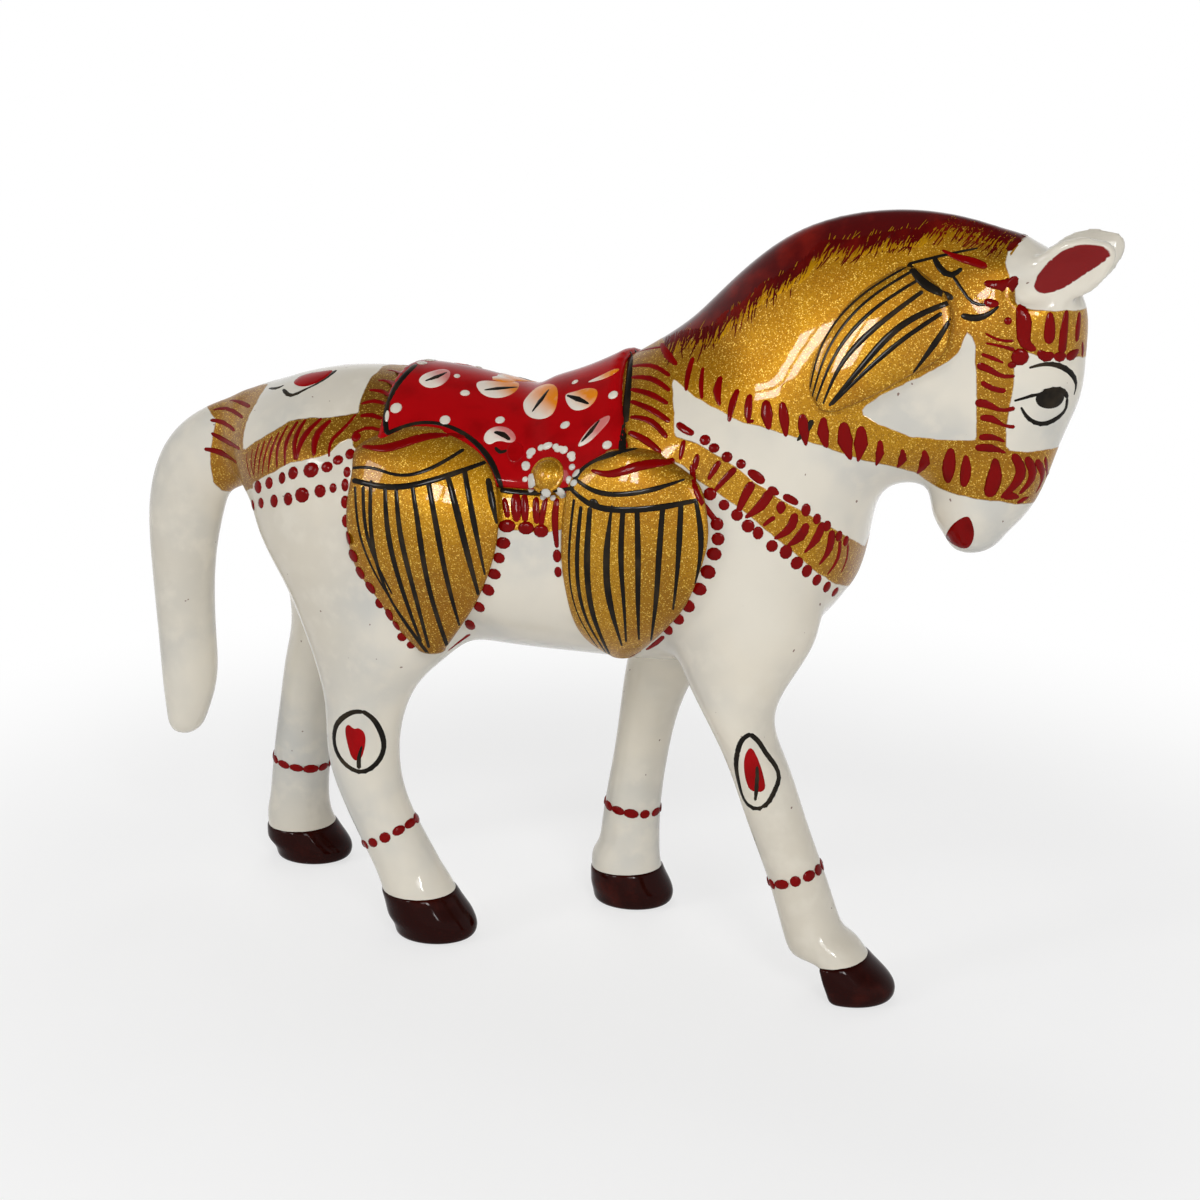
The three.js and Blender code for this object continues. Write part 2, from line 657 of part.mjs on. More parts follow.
// Medallions: a button on each flap, pinned through it into the body
const buttonProfile = [
  [0, 0],
  [1, 0],
  [1, 0.3],
  [0.72, 0.75],
  [0.38, 0.95],
  [0, 1],
].map(([r, h]) => new THREE.Vector2(r * MEDALLION_RADIUS, h * MEDALLION_HEIGHT));
const rivetHoles = [];
for (const hand of hands) {
  const height = FLAP_HEIGHT + MEDALLION_EDGE;
  const { point, normal } = flank(BAG_MIDDLE_X + MEDALLION_AHEAD, height, hand);
  const stack = GAP + SADDLE_THICKNESS + GAP;
  const seat = point.clone().addScaledVector(normal, stack);
  const turn = new THREE.Quaternion().setFromUnitVectors(left, normal);
  const dome = new THREE.LatheGeometry(buttonProfile, SIDES.relief).applyQuaternion(turn);
  const inward = normal.clone().negate();
  const rivet = pegAndHole(seat, inward, STUD_RADIUS, stack + STUD_LENGTH);
  sockets.push(rivet.hole);
  rivetHoles.push(rivet.hole);
  const button = solid(dome.translate(seat.x, seat.y, seat.z));
  add(`medallion_${hand.word}`, button.add(rivet.peg), enamel(ENAMEL.gold, 0.4));
}
const bored = (made, holes) => holes.reduce((sum, hole) => sum.subtract(hole), made);
add("saddle", bored(saddleSheet, rivetHoles), enamel(ENAMEL.red));

// The two halves of the body, hollow, lapped along the middle plane
const at = (y) => new THREE.Vector3(0, y, 0);
const hollow = body(-WALL);
const shell = torso(0).add(tailStub).subtract(hollow);
const lip = body((-WALL - GAP) / 2)
  .subtract(hollow)
  .intersect(beyond(at(-GAP), left))
  .intersect(beyond(at(SEAM_LIP), right));
const rebate = body((-WALL + GAP) / 2).intersect(beyond(at(SEAM_LIP + GAP), right));
const rightHalf = shell.intersect(beyond(at(0), right)).add(lip);
const leftHalf = shell.intersect(beyond(at(GAP), left)).subtract(rebate);
add("body_shell_right", bored(rightHalf, sockets), enamel(ENAMEL.white));
add("body_shell_left", bored(leftHalf, sockets), enamel(ENAMEL.white));

const middle = new THREE.Box3().setFromObject(figure).getCenter(new THREE.Vector3());
for (const mesh of figure.children) mesh.geometry.translate(-middle.x, -middle.y, 0);

export default figure;
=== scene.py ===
"""Looks of an enamelled metal horse figurine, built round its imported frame.

Shapes are worked out in millimetres from the middle of the barrel, as the castings are, and go into
the row's own frame and metres when a piece is made. +X is ahead, +Y the horse's left, +Z up.
"""

import math
import random

import bpy
import numpy as np
import openvdb
from mathutils import Matrix, Vector
from mathutils.bvhtree import BVHTree


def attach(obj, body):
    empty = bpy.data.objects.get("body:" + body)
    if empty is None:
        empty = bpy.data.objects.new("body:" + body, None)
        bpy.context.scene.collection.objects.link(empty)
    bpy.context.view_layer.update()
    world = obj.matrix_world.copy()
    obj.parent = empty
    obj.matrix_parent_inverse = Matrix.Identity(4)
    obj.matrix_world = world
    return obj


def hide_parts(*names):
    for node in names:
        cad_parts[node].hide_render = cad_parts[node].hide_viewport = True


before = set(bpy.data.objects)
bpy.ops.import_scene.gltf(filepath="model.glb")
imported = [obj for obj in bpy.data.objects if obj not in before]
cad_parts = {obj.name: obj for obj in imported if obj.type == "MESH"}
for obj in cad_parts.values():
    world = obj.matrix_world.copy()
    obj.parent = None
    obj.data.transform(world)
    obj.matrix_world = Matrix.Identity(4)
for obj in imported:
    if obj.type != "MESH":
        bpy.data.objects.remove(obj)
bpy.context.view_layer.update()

MM = 0.001
ROW_SHIFT = np.array([1.069, 0, 0])  # middle of the barrel in the row's frame

# The photograph's view: a picture of 1200 by 1200 pixels
PICTURE = 1200
VIEW_AZIMUTH, VIEW_ELEVATION = math.radians(19.2), math.radians(15.4)
VIEW_DISTANCE = 212
FOCAL_PIXELS = 2100
VIEW_AIM = np.array([0, 0, 35.4])
SENSOR = 36

# Main sizes of the castings
BELLY_HEIGHT, BARREL_DEPTH, BARREL_WIDTH = 30.5, 26.5, 26
BACK_HEIGHT = BELLY_HEIGHT + BARREL_DEPTH
RUMP_LENGTH, BREAST_LENGTH = 38.5, 25
NECK_LENGTH, NECK_WIDTH = 37.5, 17
NECK_START = np.array([3, BACK_HEIGHT + 3])
HEAD_LENGTH, HEAD_WIDTH = 30, 12
EAR_LENGTH, EAR_WIDTH, EAR_THICKNESS, EAR_SPREAD = 8, 5.4, 2.6, 7
EAR_LEAN, EAR_SPLAY = math.radians(62), math.radians(10)
TAIL_LENGTH, TAIL_WIDTH = 38, 7
TAIL_START = np.array([-RUMP_LENGTH - 2, BACK_HEIGHT - 6])
TRACK, LEG_WIDTH = 15, 6
HOOF_LENGTH, HOOF_WIDTH, HOOF_HEIGHT = 8.6, 7.6, 4
BAG_WIDTH, BAG_BULGE, TASSEL_LENGTH, TASSEL_BULGE, RELIEF_RIM = 16, 1.7, 13.4, 1.1, 0.35
MEDALLION_RADIUS, MEDALLION_HEIGHT = 1.8, 0.9
MEDALLION_PLACE = (-1.2, 50.5)
# Profile of a medallion: distance out and rise, as shares of its radius and height
MEDALLION_ROWS = [
    (0.98, -0.3), (1, 0), (0.98, 0.12), (0.92, 0.18), (0.85, 0.16), (0.82, 0.2), (0.76, 0.4), (0.62, 0.6),
    (0.42, 0.75), (0.2, 0.83), (0.04, 0.85),
]
SADDLE_THICKNESS = 0.8


# Section tables, shared with the castings; the lower tail and bags are closer to the photograph

# Place from the rump at -1 to the breast at 1, rise of the back, lift of the belly, width
TRUNK_ROWS = [
    (-1, -0.102, 0.566, 0.385), (-0.935, -0.053, 0.434, 0.585), (-0.83, 0, 0.283, 0.785),
    (-0.7, 0.034, 0.151, 0.923), (-0.545, 0.038, 0.057, 0.99), (-0.36, 0.015, 0.015, 1),
    (-0.155, -0.034, 0, 1), (0, 0.008, -0.004, 0.985), (0.24, 0.132, -0.008, 0.97),
    (0.48, 0.208, 0.011, 0.92), (0.72, 0.151, 0.087, 0.83), (0.9, 0, 0.208, 0.66),
    (1, -0.189, 0.34, 0.475),
]
# Crest x and z, throat x and z, width, egg
NECK_ROWS = [
    (-0.187, -0.08, 0.293, -0.72, 1.3, 0), (0, 0, 0.453, -0.667, 1.24, 0.1),
    (0.16, 0.107, 0.592, -0.52, 1.12, 0.2), (0.312, 0.253, 0.645, -0.36, 1, 0.28),
    (0.464, 0.357, 0.699, -0.285, 0.9, 0.32), (0.664, 0.405, 0.773, -0.267, 0.84, 0.32),
    (0.861, 0.392, 0.867, -0.24, 0.78, 0.3), (1, 0.352, 0.947, -0.187, 0.68, 0.2),
]
# Front x and z, back x and z, width
HEAD_ROWS = [
    (0.1, -0.057, -0.15, -0.107, 0.75), (0.19, -0.19, -0.2, -0.257, 0.93),
    (0.203, -0.34, -0.233, -0.423, 1), (0.193, -0.483, -0.233, -0.573, 0.98),
    (0.147, -0.613, -0.233, -0.69, 0.88), (0.107, -0.74, -0.243, -0.79, 0.82),
    (0.05, -0.857, -0.237, -0.88, 0.75), (-0.017, -0.933, -0.19, -0.947, 0.6),
]
# Outer x and z, inner x and z, width
TAIL_ROWS = [
    (0.118, 0.111, 0.118, -0.118, 0.95), (0, 0.079, 0.013, -0.176, 1),
    (-0.113, 0.032, -0.034, -0.2, 1), (-0.213, -0.055, -0.061, -0.263, 1),
    (-0.271, -0.197, -0.082, -0.342, 1), (-0.28, -0.395, -0.1, -0.447, 0.97),
    (-0.271, -0.632, -0.106, -0.632, 0.92), (-0.267, -0.789, -0.113, -0.776, 0.82),
    (-0.262, -0.884, -0.148, -0.879, 0.62),
]
# Place up the ear, width
EAR_ROWS = [(-0.2, 0.5), (0.12, 0.8), (0.4, 1), (0.7, 0.86), (0.93, 0.45)]
# Each leg: where its sole stands, its side, and two tables
# Upper: height, ahead, half length, place out from the middle, half width
# Lower: height, ahead, half length, half width
LEGS = {
    "front_right": (BREAST_LENGTH + 3.4, -1, [
        (1.547, -0.423, 0.308, 0.477, 0.354), (1.396, -0.4, 0.462, 0.462, 0.4),
        (1.245, -0.38, 0.554, 0.469, 0.4), (1.02, -0.393, 0.4, 0.523, 0.346),
    ], [
        (0.9, -0.38, 0.567, 0.633), (0.755, -0.323, 0.492, 0.55), (0.56, -0.251, 0.492, 0.5),
        (0.36, -0.175, 0.492, 0.483), (0.21, -0.126, 0.508, 0.5), (0.08, -0.082, 0.533, 0.533),
    ]),
    "front_left": (BREAST_LENGTH - 23.9, 1, [
        (1.547, 0.472, 0.308, 0.477, 0.354), (1.396, 0.439, 0.462, 0.462, 0.4),
        (1.245, 0.384, 0.554, 0.469, 0.4), (1.02, 0.21, 0.431, 0.523, 0.346),
    ], [
        (0.9, 0.121, 0.7, 0.633), (0.755, 0.069, 0.55, 0.55), (0.56, 0.031, 0.492, 0.5),
        (0.36, 0, 0.517, 0.483), (0.21, -0.01, 0.55, 0.5), (0.08, -0.01, 0.567, 0.533),
    ]),
    "rear_right": (22.9 - RUMP_LENGTH, -1, [
        (1.74, -0.282, 0.462, 0.454, 0.4), (1.51, -0.269, 0.8, 0.5, 0.492),
        (1.245, -0.197, 0.769, 0.523, 0.477), (1.057, -0.167, 0.669, 0.546, 0.408),
    ], [
        (0.92, -0.207, 0.983, 0.75), (0.79, -0.236, 0.717, 0.633), (0.62, -0.249, 0.633, 0.567),
        (0.46, -0.21, 0.583, 0.533), (0.3, -0.13, 0.608, 0.517), (0.18, -0.07, 0.625, 0.533),
        (0.08, -0.03, 0.65, 0.55),
    ]),
    "rear_left": (1.3 - RUMP_LENGTH, 1, [
        (1.74, 0.321, 0.462, 0.454, 0.4), (1.51, 0.315, 0.8, 0.5, 0.492),
        (1.245, 0.259, 0.723, 0.523, 0.477), (1.057, 0.19, 0.538, 0.546, 0.408),
    ], [
        (0.92, 0.115, 0.783, 0.75), (0.79, 0.059, 0.65, 0.633), (0.62, 0.013, 0.583, 0.567),
        (0.46, -0.021, 0.558, 0.533), (0.3, -0.044, 0.558, 0.517), (0.18, -0.052, 0.583, 0.533),
        (0.08, -0.049, 0.617, 0.55),
    ]),
}
# Height, ahead, length, width
HOOF_ROWS = [
    (0, 0, 0.95, 0.92), (0.3, 0.012, 1, 1), (0.65, -0.047, 0.88, 0.98),
    (1, -0.14, 0.7, 0.92), (1.4, -0.22, 0.6, 0.86),
]
# Each bag: its middle, then drop below the seat, back edge, front edge
BAGS = {
    "rear": (-13.6, [
        (0.128, -0.244, 0.069), (0.17, -0.425, 0.25), (0.264, -0.488, 0.438),
        (0.377, -0.494, 0.494), (0.509, -0.485, 0.485), (0.642, -0.445, 0.405),
        (0.755, -0.36, 0.3), (0.849, -0.26, 0.19), (0.943, -0.11, 0.07),
    ]),
    "front": (8, [
        (0.151, -0.219, 0.125), (0.208, -0.363, 0.313), (0.302, -0.438, 0.413),
        (0.415, -0.456, 0.438), (0.547, -0.46, 0.385), (0.679, -0.45, 0.285),
        (0.792, -0.43, 0.13), (0.887, -0.37, -0.03), (0.943, -0.29, -0.135),
    ]),
}
# Drop below the tie, back edge, front edge
TASSEL_ROWS = [
    (0.06, -0.239, -0.075), (0.149, -0.373, 0.06), (0.299, -0.537, 0.164),
    (0.448, -0.634, 0.172), (0.597, -0.709, 0.134), (0.746, -0.746, -0.09),
    (0.896, -0.731, -0.336), (0.978, -0.672, -0.507),
]
# Outline of the saddle in the side view
SADDLE_OUTLINE = [
    (3.4, 90), (3.4, 61), (6.8, 53), (6.8, 48.9), (-19.4, 48.9), (-19.4, 54), (-20.2, 58), (-20.2, 90),
]
# Places set off from the poll by shares of the head's length, and the sides of the horse
POLL = NECK_START + np.array(NECK_ROWS[-1][:2]) * NECK_LENGTH
EAR_ROOT = POLL + np.array([0.05, -0.14]) * HEAD_LENGTH
TASSEL_TIE = POLL + np.array([-0.25, -0.073]) * HEAD_LENGTH
HANDS = {"right": -1, "left": 1}
OUTSIDE = 60  # how far from the middle a level line starts


# What is painted where, in pixels of the photograph

GOLD_AREAS = {
    "neck_rein_and_noseband": [
        (655, 322), (690, 292), (760, 232), (830, 196), (900, 186), (960, 188), (1004, 208), (1034, 226),
        (1030, 232), (1008, 251), (1005, 264), (1009, 276), (1015, 288), (1016, 310), (1014, 380),
        (1010, 405), (1006, 430), (1006, 450), (1030, 452), (1068, 446), (1070, 500), (1040, 503),
        (1020, 504), (1000, 502), (975, 499), (950, 493), (930, 483), (917, 473), (900, 468), (880, 464),
        (860, 459), (840, 453), (820, 445), (800, 439), (780, 433), (760, 427), (740, 421), (720, 411),
        (702, 401), (690, 393), (676, 381), (666, 371),
    ],
    "saddle_front_border": [
        (624, 352), (632, 338), (662, 326), (680, 346), (677, 366), (672, 380), (674, 420), (676, 452),
        (650, 470), (618, 470),
    ],
    "breast_collar": [
        (674, 436), (700, 445), (720, 457), (737, 468), (758, 484), (776, 497), (800, 510), (825, 524),
        (853, 540), (885, 556), (868, 590), (835, 584), (815, 571), (797, 555), (775, 538), (752, 518),
        (735, 505), (715, 491), (700, 482), (684, 466), (666, 458),
    ],
    "brow_band": [
        (1006, 303), (1032, 309), (1050, 311), (1075, 311), (1104, 304), (1104, 358), (1080, 357),
        (1040, 357), (1026, 352), (1006, 346),
    ],
    "crupper": [
        (236, 455), (258, 440), (275, 430), (290, 421), (310, 418), (330, 418), (345, 415), (360, 412),
        (360, 433), (340, 443), (330, 453), (310, 459), (290, 463), (275, 471), (262, 478), (244, 486),
    ],
    "saddle_rear_border": [
        (422, 352), (400, 360), (383, 366), (370, 378), (362, 395), (358, 412), (355, 430), (352, 446),
        (372, 462), (392, 440), (400, 400), (430, 372),
    ],
    "girth": [(494, 486), (566, 486), (566, 528), (545, 534), (494, 528)],
    "tail_band": [
        (200, 396), (222, 390), (250, 384), (268, 384), (254, 406), (247, 422), (243, 440), (243, 456),
        (248, 470), (254, 488), (240, 493), (222, 491), (213, 482), (210, 462), (212, 440), (216, 420),
    ],
}
CHEEK_WHITE = [
    (968, 331), (975, 345), (977, 400), (976, 440), (940, 440), (910, 436), (880, 425), (860, 413),
    (866, 405), (880, 396), (900, 386), (920, 377), (942, 366), (958, 354),
]
MANE_EDGE = [
    (666, 346), (682, 338), (700, 336), (716, 332), (726, 320), (740, 312), (752, 301), (764, 290),
    (782, 282), (800, 272), (812, 259), (824, 247), (850, 247), (880, 241), (905, 236), (920, 237),
    (935, 228), (955, 226), (975, 230), (1000, 238), (1012, 247),
]
MANE_CREST = [
    (1036, 228), (1004, 204), (960, 184), (900, 180), (830, 190), (760, 226), (690, 286), (655, 318),
]

# Brush strokes: width along the stroke, then the points it runs through
RED_STROKES = [
    # rein
    ((5, 6, 3), [(693, 357), (688, 374), (686, 391)]),
    ((3, 5, 3), [(703, 367), (701, 385), (702, 399)]),
    ((5, 8, 3), [(721, 376), (717, 392), (720, 406)]),
    ((5, 7, 3), [(738, 389), (732, 405), (729, 422)]),
    ((5, 8, 3), [(750, 394), (748, 412), (750, 422), (754, 420)]),
    ((8, 11, 4), [(766, 400), (767, 416), (769, 430)]),
    ((6, 10, 3), [(782, 402), (784, 418), (786, 437)]),
    ((7, 11, 2), [(802, 414), (804, 430), (806, 446)]),
    ((5, 11, 4), [(824, 417), (823, 432), (827, 448)]),
    ((8, 14, 3), [(844, 422), (845, 440), (851, 460)]),
    ((7, 13, 2), [(861, 426), (861, 442), (858, 462)]),
    ((4, 8, 2), [(880, 440), (880, 452), (876, 466)]),
    ((3, 8, 2), [(902, 449), (903, 458), (897, 468)]),
    ((4, 10, 2), [(924, 450), (925, 462), (917, 474)]),
    ((6, 13, 7), [(951, 448), (949, 465), (947, 483)]),
    ((4, 11, 7), [(966, 455), (966, 468), (963, 487)]),
    ((5, 14, 11), [(995, 458), (995, 474), (988, 497)]),
    # noseband
    ((7, 11, 4), [(1013, 454), (1021, 470), (1001, 498)]),
    ((7, 10, 4), [(1026, 457), (1033, 474), (1019, 494)]),
    ((7, 8, 3), [(1036, 460), (1043, 474), (1036, 493)]),
    ((4, 5, 3), [(1045, 457), (1047, 476), (1042, 493)]),
    ((4, 8, 4), [(1004, 499), (1011, 496), (1019, 498)]),
    ((3, 6, 3), [(1017, 503), (1023, 500), (1029, 497)]),
    # cheek strap
    ((2, 3, 3), [(985, 333), (999, 340), (1014, 341)]),
    ((2, 3, 4), [(985, 343), (1000, 346), (1015, 350)]),
    ((3, 4, 2), [(981, 354), (992, 358), (1004, 363)]),
    ((7, 6, 4, 3), [(977, 365), (988, 369), (1002, 376), (1015, 376)]),
    ((5, 5, 5), [(981, 382), (994, 389), (1006, 391)]),
    ((8, 7, 3, 5), [(975, 403), (986, 404), (1000, 410), (1015, 408)]),
    ((6, 7, 3, 4), [(980, 418), (992, 419), (1003, 425), (1015, 427)]),
    ((7, 6, 2), [(979, 438), (991, 437), (1005, 442)]),
    ((7, 8, 2), [(975, 448), (990, 448), (1006, 453)]),
    # headstall by the ear
    ((2, 6, 8, 6), [(942, 250), (957, 257), (974, 262), (987, 267)]),
    ((5, 8, 14, 8), [(984, 283), (998, 285), (1012, 284), (1016, 276)]),
    ((6, 8, 5), [(984, 301), (990, 303), (999, 304)]),
    # brow band
    ((9, 14, 12, 5), [(1020, 304), (1024, 324), (1026, 344), (1036, 350)]),
    ((6, 11, 10), [(1050, 312), (1050, 328), (1049, 344)]),
    ((5, 9, 9), [(1067, 310), (1064, 332), (1062, 354)]),
    ((6, 8, 6), [(1080, 312), (1078, 328), (1077, 342)]),
    ((7, 9, 8), [(1038, 351), (1046, 357), (1054, 354)]),
    ((8, 9, 8), [(1054, 355), (1061, 357), (1066, 355)]),
    ((8, 9, 5), [(1066, 357), (1073, 355), (1079, 350)]),
    ((4, 6, 5), [(1082, 342), (1083, 350), (1082, 357)]),
    # saddle's front border
    ((3, 4, 3), [(633, 354), (647, 349), (662, 347)]),
    ((4, 5, 4), [(632, 366), (653, 366), (670, 376)]),
    ((4, 6, 4), [(631, 377), (652, 379), (670, 391)]),
    ((4, 6, 4), [(630, 389), (650, 394), (668, 404)]),
    ((4, 6, 5), [(630, 401), (650, 409), (670, 422)]),
    ((4, 6, 5), [(630, 417), (648, 420), (667, 438)]),
    ((5, 7, 5), [(628, 432), (645, 440), (661, 453)]),
    ((5, 8, 4), [(661, 343), (667, 354), (677, 365)]),
    # breast collar
    ((4, 5, 3), [(684, 440), (682, 450), (680, 460)]),
    ((4, 6, 4), [(698, 454), (696, 461), (695, 470)]),
    ((5, 6, 3), [(720, 461), (714, 470), (708, 480)]),
    ((6, 6, 3), [(736, 468), (725, 479), (714, 492)]),
    ((9, 8, 5), [(753, 482), (745, 496), (738, 512)]),
    ((9, 9, 3), [(771, 490), (764, 502), (745, 518)]),
    ((6, 9, 5), [(781, 501), (781, 508), (780, 514)]),
    ((5, 4, 3), [(775, 517), (769, 521), (763, 526)]),
    ((8, 9, 3), [(795, 513), (792, 525), (774, 539)]),
    ((8, 10, 3), [(807, 523), (803, 533), (787, 546)]),
    ((8, 9, 2), [(823, 522), (818, 536), (804, 553)]),
    ((8, 8, 2), [(832, 530), (829, 550), (819, 565)]),
    ((4, 5, 2), [(840, 540), (838, 558), (827, 575)]),
    ((3, 4, 2), [(848, 544), (847, 558), (841, 573)]),
    # crupper, finer towards the tail
    ((1, 2, 1), [(247, 452), (247, 464), (251, 478)]),
    ((1, 2, 1), [(253, 448), (251, 462), (254, 476)]),
    ((2, 3, 1), [(259, 443), (255, 460), (254, 478)]),
    ((2, 3, 1), [(265, 440), (260, 458), (258, 475)]),
    ((2, 3, 1), [(272, 436), (265, 455), (262, 475)]),
    ((2, 4, 1), [(279, 432), (271, 452), (268, 473)]),
    ((2, 4, 2), [(288, 425), (278, 446), (277, 468)]),
    ((3, 5, 2), [(298, 421), (286, 444), (285, 466)]),
    ((3, 6, 3), [(306, 419), (295, 440), (295, 460)]),
    ((3, 7, 4), [(322, 418), (302, 440), (296, 460)]),
    ((4, 8, 4), [(331, 420), (316, 437), (314, 456)]),
    ((2, 4, 4, 2), [(356, 414), (342, 430), (331, 442), (329, 457)]),
    # saddle's rear border
    ((3, 4, 3), [(387, 370), (396, 371), (405, 375)]),
    ((3, 5, 3), [(378, 380), (388, 381), (398, 386)]),
    ((3, 5, 4), [(369, 390), (381, 391), (391, 396)]),
    ((3, 5, 4), [(361, 404), (373, 401), (386, 404)]),
    ((4, 5, 4), [(360, 416), (371, 415), (382, 419)]),
    ((3, 4, 3), [(353, 434), (367, 428), (385, 432)]),
    # girth
    ((5, 6, 5), [(504, 498), (506, 508), (508, 518)]),
    ((9, 10, 8), [(516, 493), (516, 508), (517, 522)]),
    ((6, 8, 6), [(524, 494), (525, 508), (525, 522)]),
    ((6, 7, 6), [(536, 497), (536, 510), (537, 524)]),
    ((5, 6, 5), [(546, 497), (543, 512), (541, 526)]),
    ((5, 7, 6, 4), [(557, 498), (555, 518), (556, 538), (557, 548)]),
    # tail band
    ((2, 4, 4), [(230, 400), (240, 402), (250, 407)]),
    ((2, 4, 3), [(213, 410), (224, 408), (243, 418)]),
    ((3, 4, 3), [(210, 420), (222, 422), (235, 431)]),
    ((3, 5, 3), [(211, 433), (224, 440), (240, 449)]),
    ((3, 6, 3), [(204, 449), (219, 452), (237, 463)]),
    # bags
    ((3, 9, 9, 7, 3), [(362, 446), (383, 448), (410, 441), (440, 435), (466, 437)]),
    ((3, 7, 9, 9, 8), [(591, 470), (606, 474), (632, 468), (656, 463), (675, 461)]),
    ((5, 6, 5), [(692, 464), (696, 490), (717, 522)]),
    ((2, 4, 4), [(448, 651), (458, 643), (470, 634)]),
    ((4, 5, 3), [(664, 636), (655, 644), (646, 650)]),
    ((3, 3, 1), [(641, 651), (634, 655), (626, 659)]),
    # upper row of the collar
    ((7, 7, 6), [(677, 423), (684, 429), (694, 434)]),
    ((7, 9, 8), [(748, 471), (756, 476), (764, 483)]),
    ((7, 8, 4), [(768, 488), (773, 491), (779, 494)]),
    ((7, 7, 6), [(783, 496), (790, 499), (798, 504)]),
]
# Stripes of the bags and tassels, which end where these do
RELIEF_STROKES = [
    # tassel
    ((3, 3, 2), [(906, 267), (856, 300), (822, 345), (809, 393)]),
    ((3, 3, 2), [(912, 271), (862, 305), (827, 352), (812, 397)]),
    ((3, 4, 2), [(918, 280), (872, 311), (834, 357), (816, 401)]),
    ((4, 6, 2), [(923, 291), (876, 327), (841, 365), (823, 404)]),
    ((5, 7, 3), [(950, 302), (901, 326), (862, 366), (829, 406)]),
    ((4, 5, 2), [(942, 313), (905, 338), (866, 371), (832, 405)]),
    ((4, 6, 2), [(954, 314), (940, 336), (913, 373)]),
    # rear bag
    ((3, 3, 4, 4), [(352, 468), (372, 468), (392, 474), (464, 449)]),
    ((5, 6, 6, 4), [(352, 480), (390, 487), (440, 478), (488, 461)]),
    ((3, 3, 2, 2), [(355, 486), (360, 535), (391, 600), (430, 655)]),
    ((4, 4, 2), [(363, 486), (367, 535), (392, 594)]),
    ((4, 5, 3, 3), [(371, 480), (371, 530), (387, 592), (429, 656)]),
    ((4, 6, 5, 3), [(385, 487), (387, 525), (401, 586), (421, 642)]),
    ((4, 6, 5, 3), [(396, 488), (399, 525), (412, 584), (429, 648)]),
    ((4, 6, 5, 4), [(412, 484), (418, 525), (429, 588), (449, 651)]),
    ((5, 6, 5, 2), [(428, 481), (436, 525), (448, 584), (462, 634)]),
    ((5, 7, 6, 3), [(447, 473), (457, 512), (468, 556), (480, 600)]),
    ((5, 6, 2), [(464, 468), (473, 518), (485, 575)]),
    ((6, 7, 3), [(488, 478), (492, 500), (497, 524)]),
    ((2, 3, 3, 2), [(424, 651), (434, 659), (447, 655), (458, 644)]),
    # front bag
    ((3, 5, 5, 5, 2), [(573, 477), (592, 490), (626, 494), (658, 488), (685, 479)]),
    ((4, 6, 6, 6, 4), [(571, 489), (590, 504), (622, 510), (662, 507), (698, 500)]),
    ((7, 8, 4), [(590, 500), (595, 504), (599, 508)]),
    ((3, 3, 2, 2), [(574, 499), (569, 555), (577, 612), (603, 655)]),
    ((4, 5, 4, 2), [(581, 506), (577, 558), (586, 618), (608, 656)]),
    ((5, 7, 6, 3), [(590, 507), (587, 560), (594, 618), (611, 658)]),
    ((2, 7, 7, 2), [(612, 505), (607, 548), (608, 592), (622, 646)]),
    ((5, 6, 4, 2), [(623, 509), (621, 560), (624, 606), (626, 642)]),
    ((5, 6, 5, 2), [(637, 509), (638, 560), (638, 610), (639, 640)]),
    ((5, 6, 5, 2), [(663, 505), (659, 555), (656, 600), (651, 641)]),
    ((5, 6, 4, 2), [(681, 503), (679, 545), (676, 585), (673, 610)]),
    ((4, 6, 4, 2), [(696, 501), (701, 540), (698, 572), (690, 603)]),
]
BLACK_STROKES = [
    # tassel's cap and ties
    ((8, 8, 10, 9, 5), [(908, 264), (914, 271), (922, 281), (936, 290), (953, 299)]),
    ((5, 6, 6, 4), [(934, 257), (940, 268), (950, 275), (962, 268)]),
    ((3, 3, 2), [(908, 264), (940, 256), (978, 248)]),
    ((3, 3, 3, 2), [(953, 276), (963, 291), (974, 303), (998, 302)]),
    ((5, 7, 5, 2), [(961, 315), (972, 318), (985, 316), (999, 306)]),
    ((5, 7, 2), [(813, 420), (806, 430), (797, 441)]),
    # eye
    ((2, 4, 6, 6, 2), [(1029, 368), (1048, 364), (1066, 369), (1076, 382), (1074, 395)]),
    ((2, 3, 5, 6, 5), [(1014, 401), (1034, 395), (1051, 390), (1063, 391), (1068, 398)]),
    ((2, 4, 5, 6, 5, 4), [(1021, 407), (1028, 418), (1041, 424), (1056, 419), (1066, 408), (1067, 398)]),
    # saddle's outline
    ((6, 8, 8), [(631, 352), (627, 400), (622, 452)]),
    ((6, 7, 7, 5), [(416, 364), (396, 386), (385, 418), (387, 434)]),
    ((5, 4, 4, 5, 6, 5), [(386, 434), (418, 423), (448, 426), (470, 438), (490, 460), (502, 489)]),
    ((5, 5, 4), [(500, 490), (535, 493), (574, 488)]),
    ((7, 8, 7, 5), [(637, 448), (605, 456), (581, 470), (570, 491)]),
    # slits of the petals
    ((2, 6, 2), [(425, 381), (436, 377), (447, 372)]),
    ((2, 7, 2), [(484, 390), (502, 388), (518, 387)]),
    ((2, 7, 2), [(532, 412), (540, 401), (549, 389)]),
    ((2, 6, 2), [(566, 395), (578, 399), (589, 404)]),
    ((2, 5, 2), [(581, 442), (590, 432), (600, 419)]),
    ((3, 6, 3), [(494, 432), (502, 434), (510, 440)]),
    ((3, 4, 3), [(495, 447), (500, 452), (507, 450)]),
    # rump leaf
    ((3, 5, 3), [(269, 388), (277, 388), (284, 385)]),
    ((4, 5, 3, 4, 5), [(283, 389), (289, 395), (302, 391), (320, 382), (336, 370)]),
]
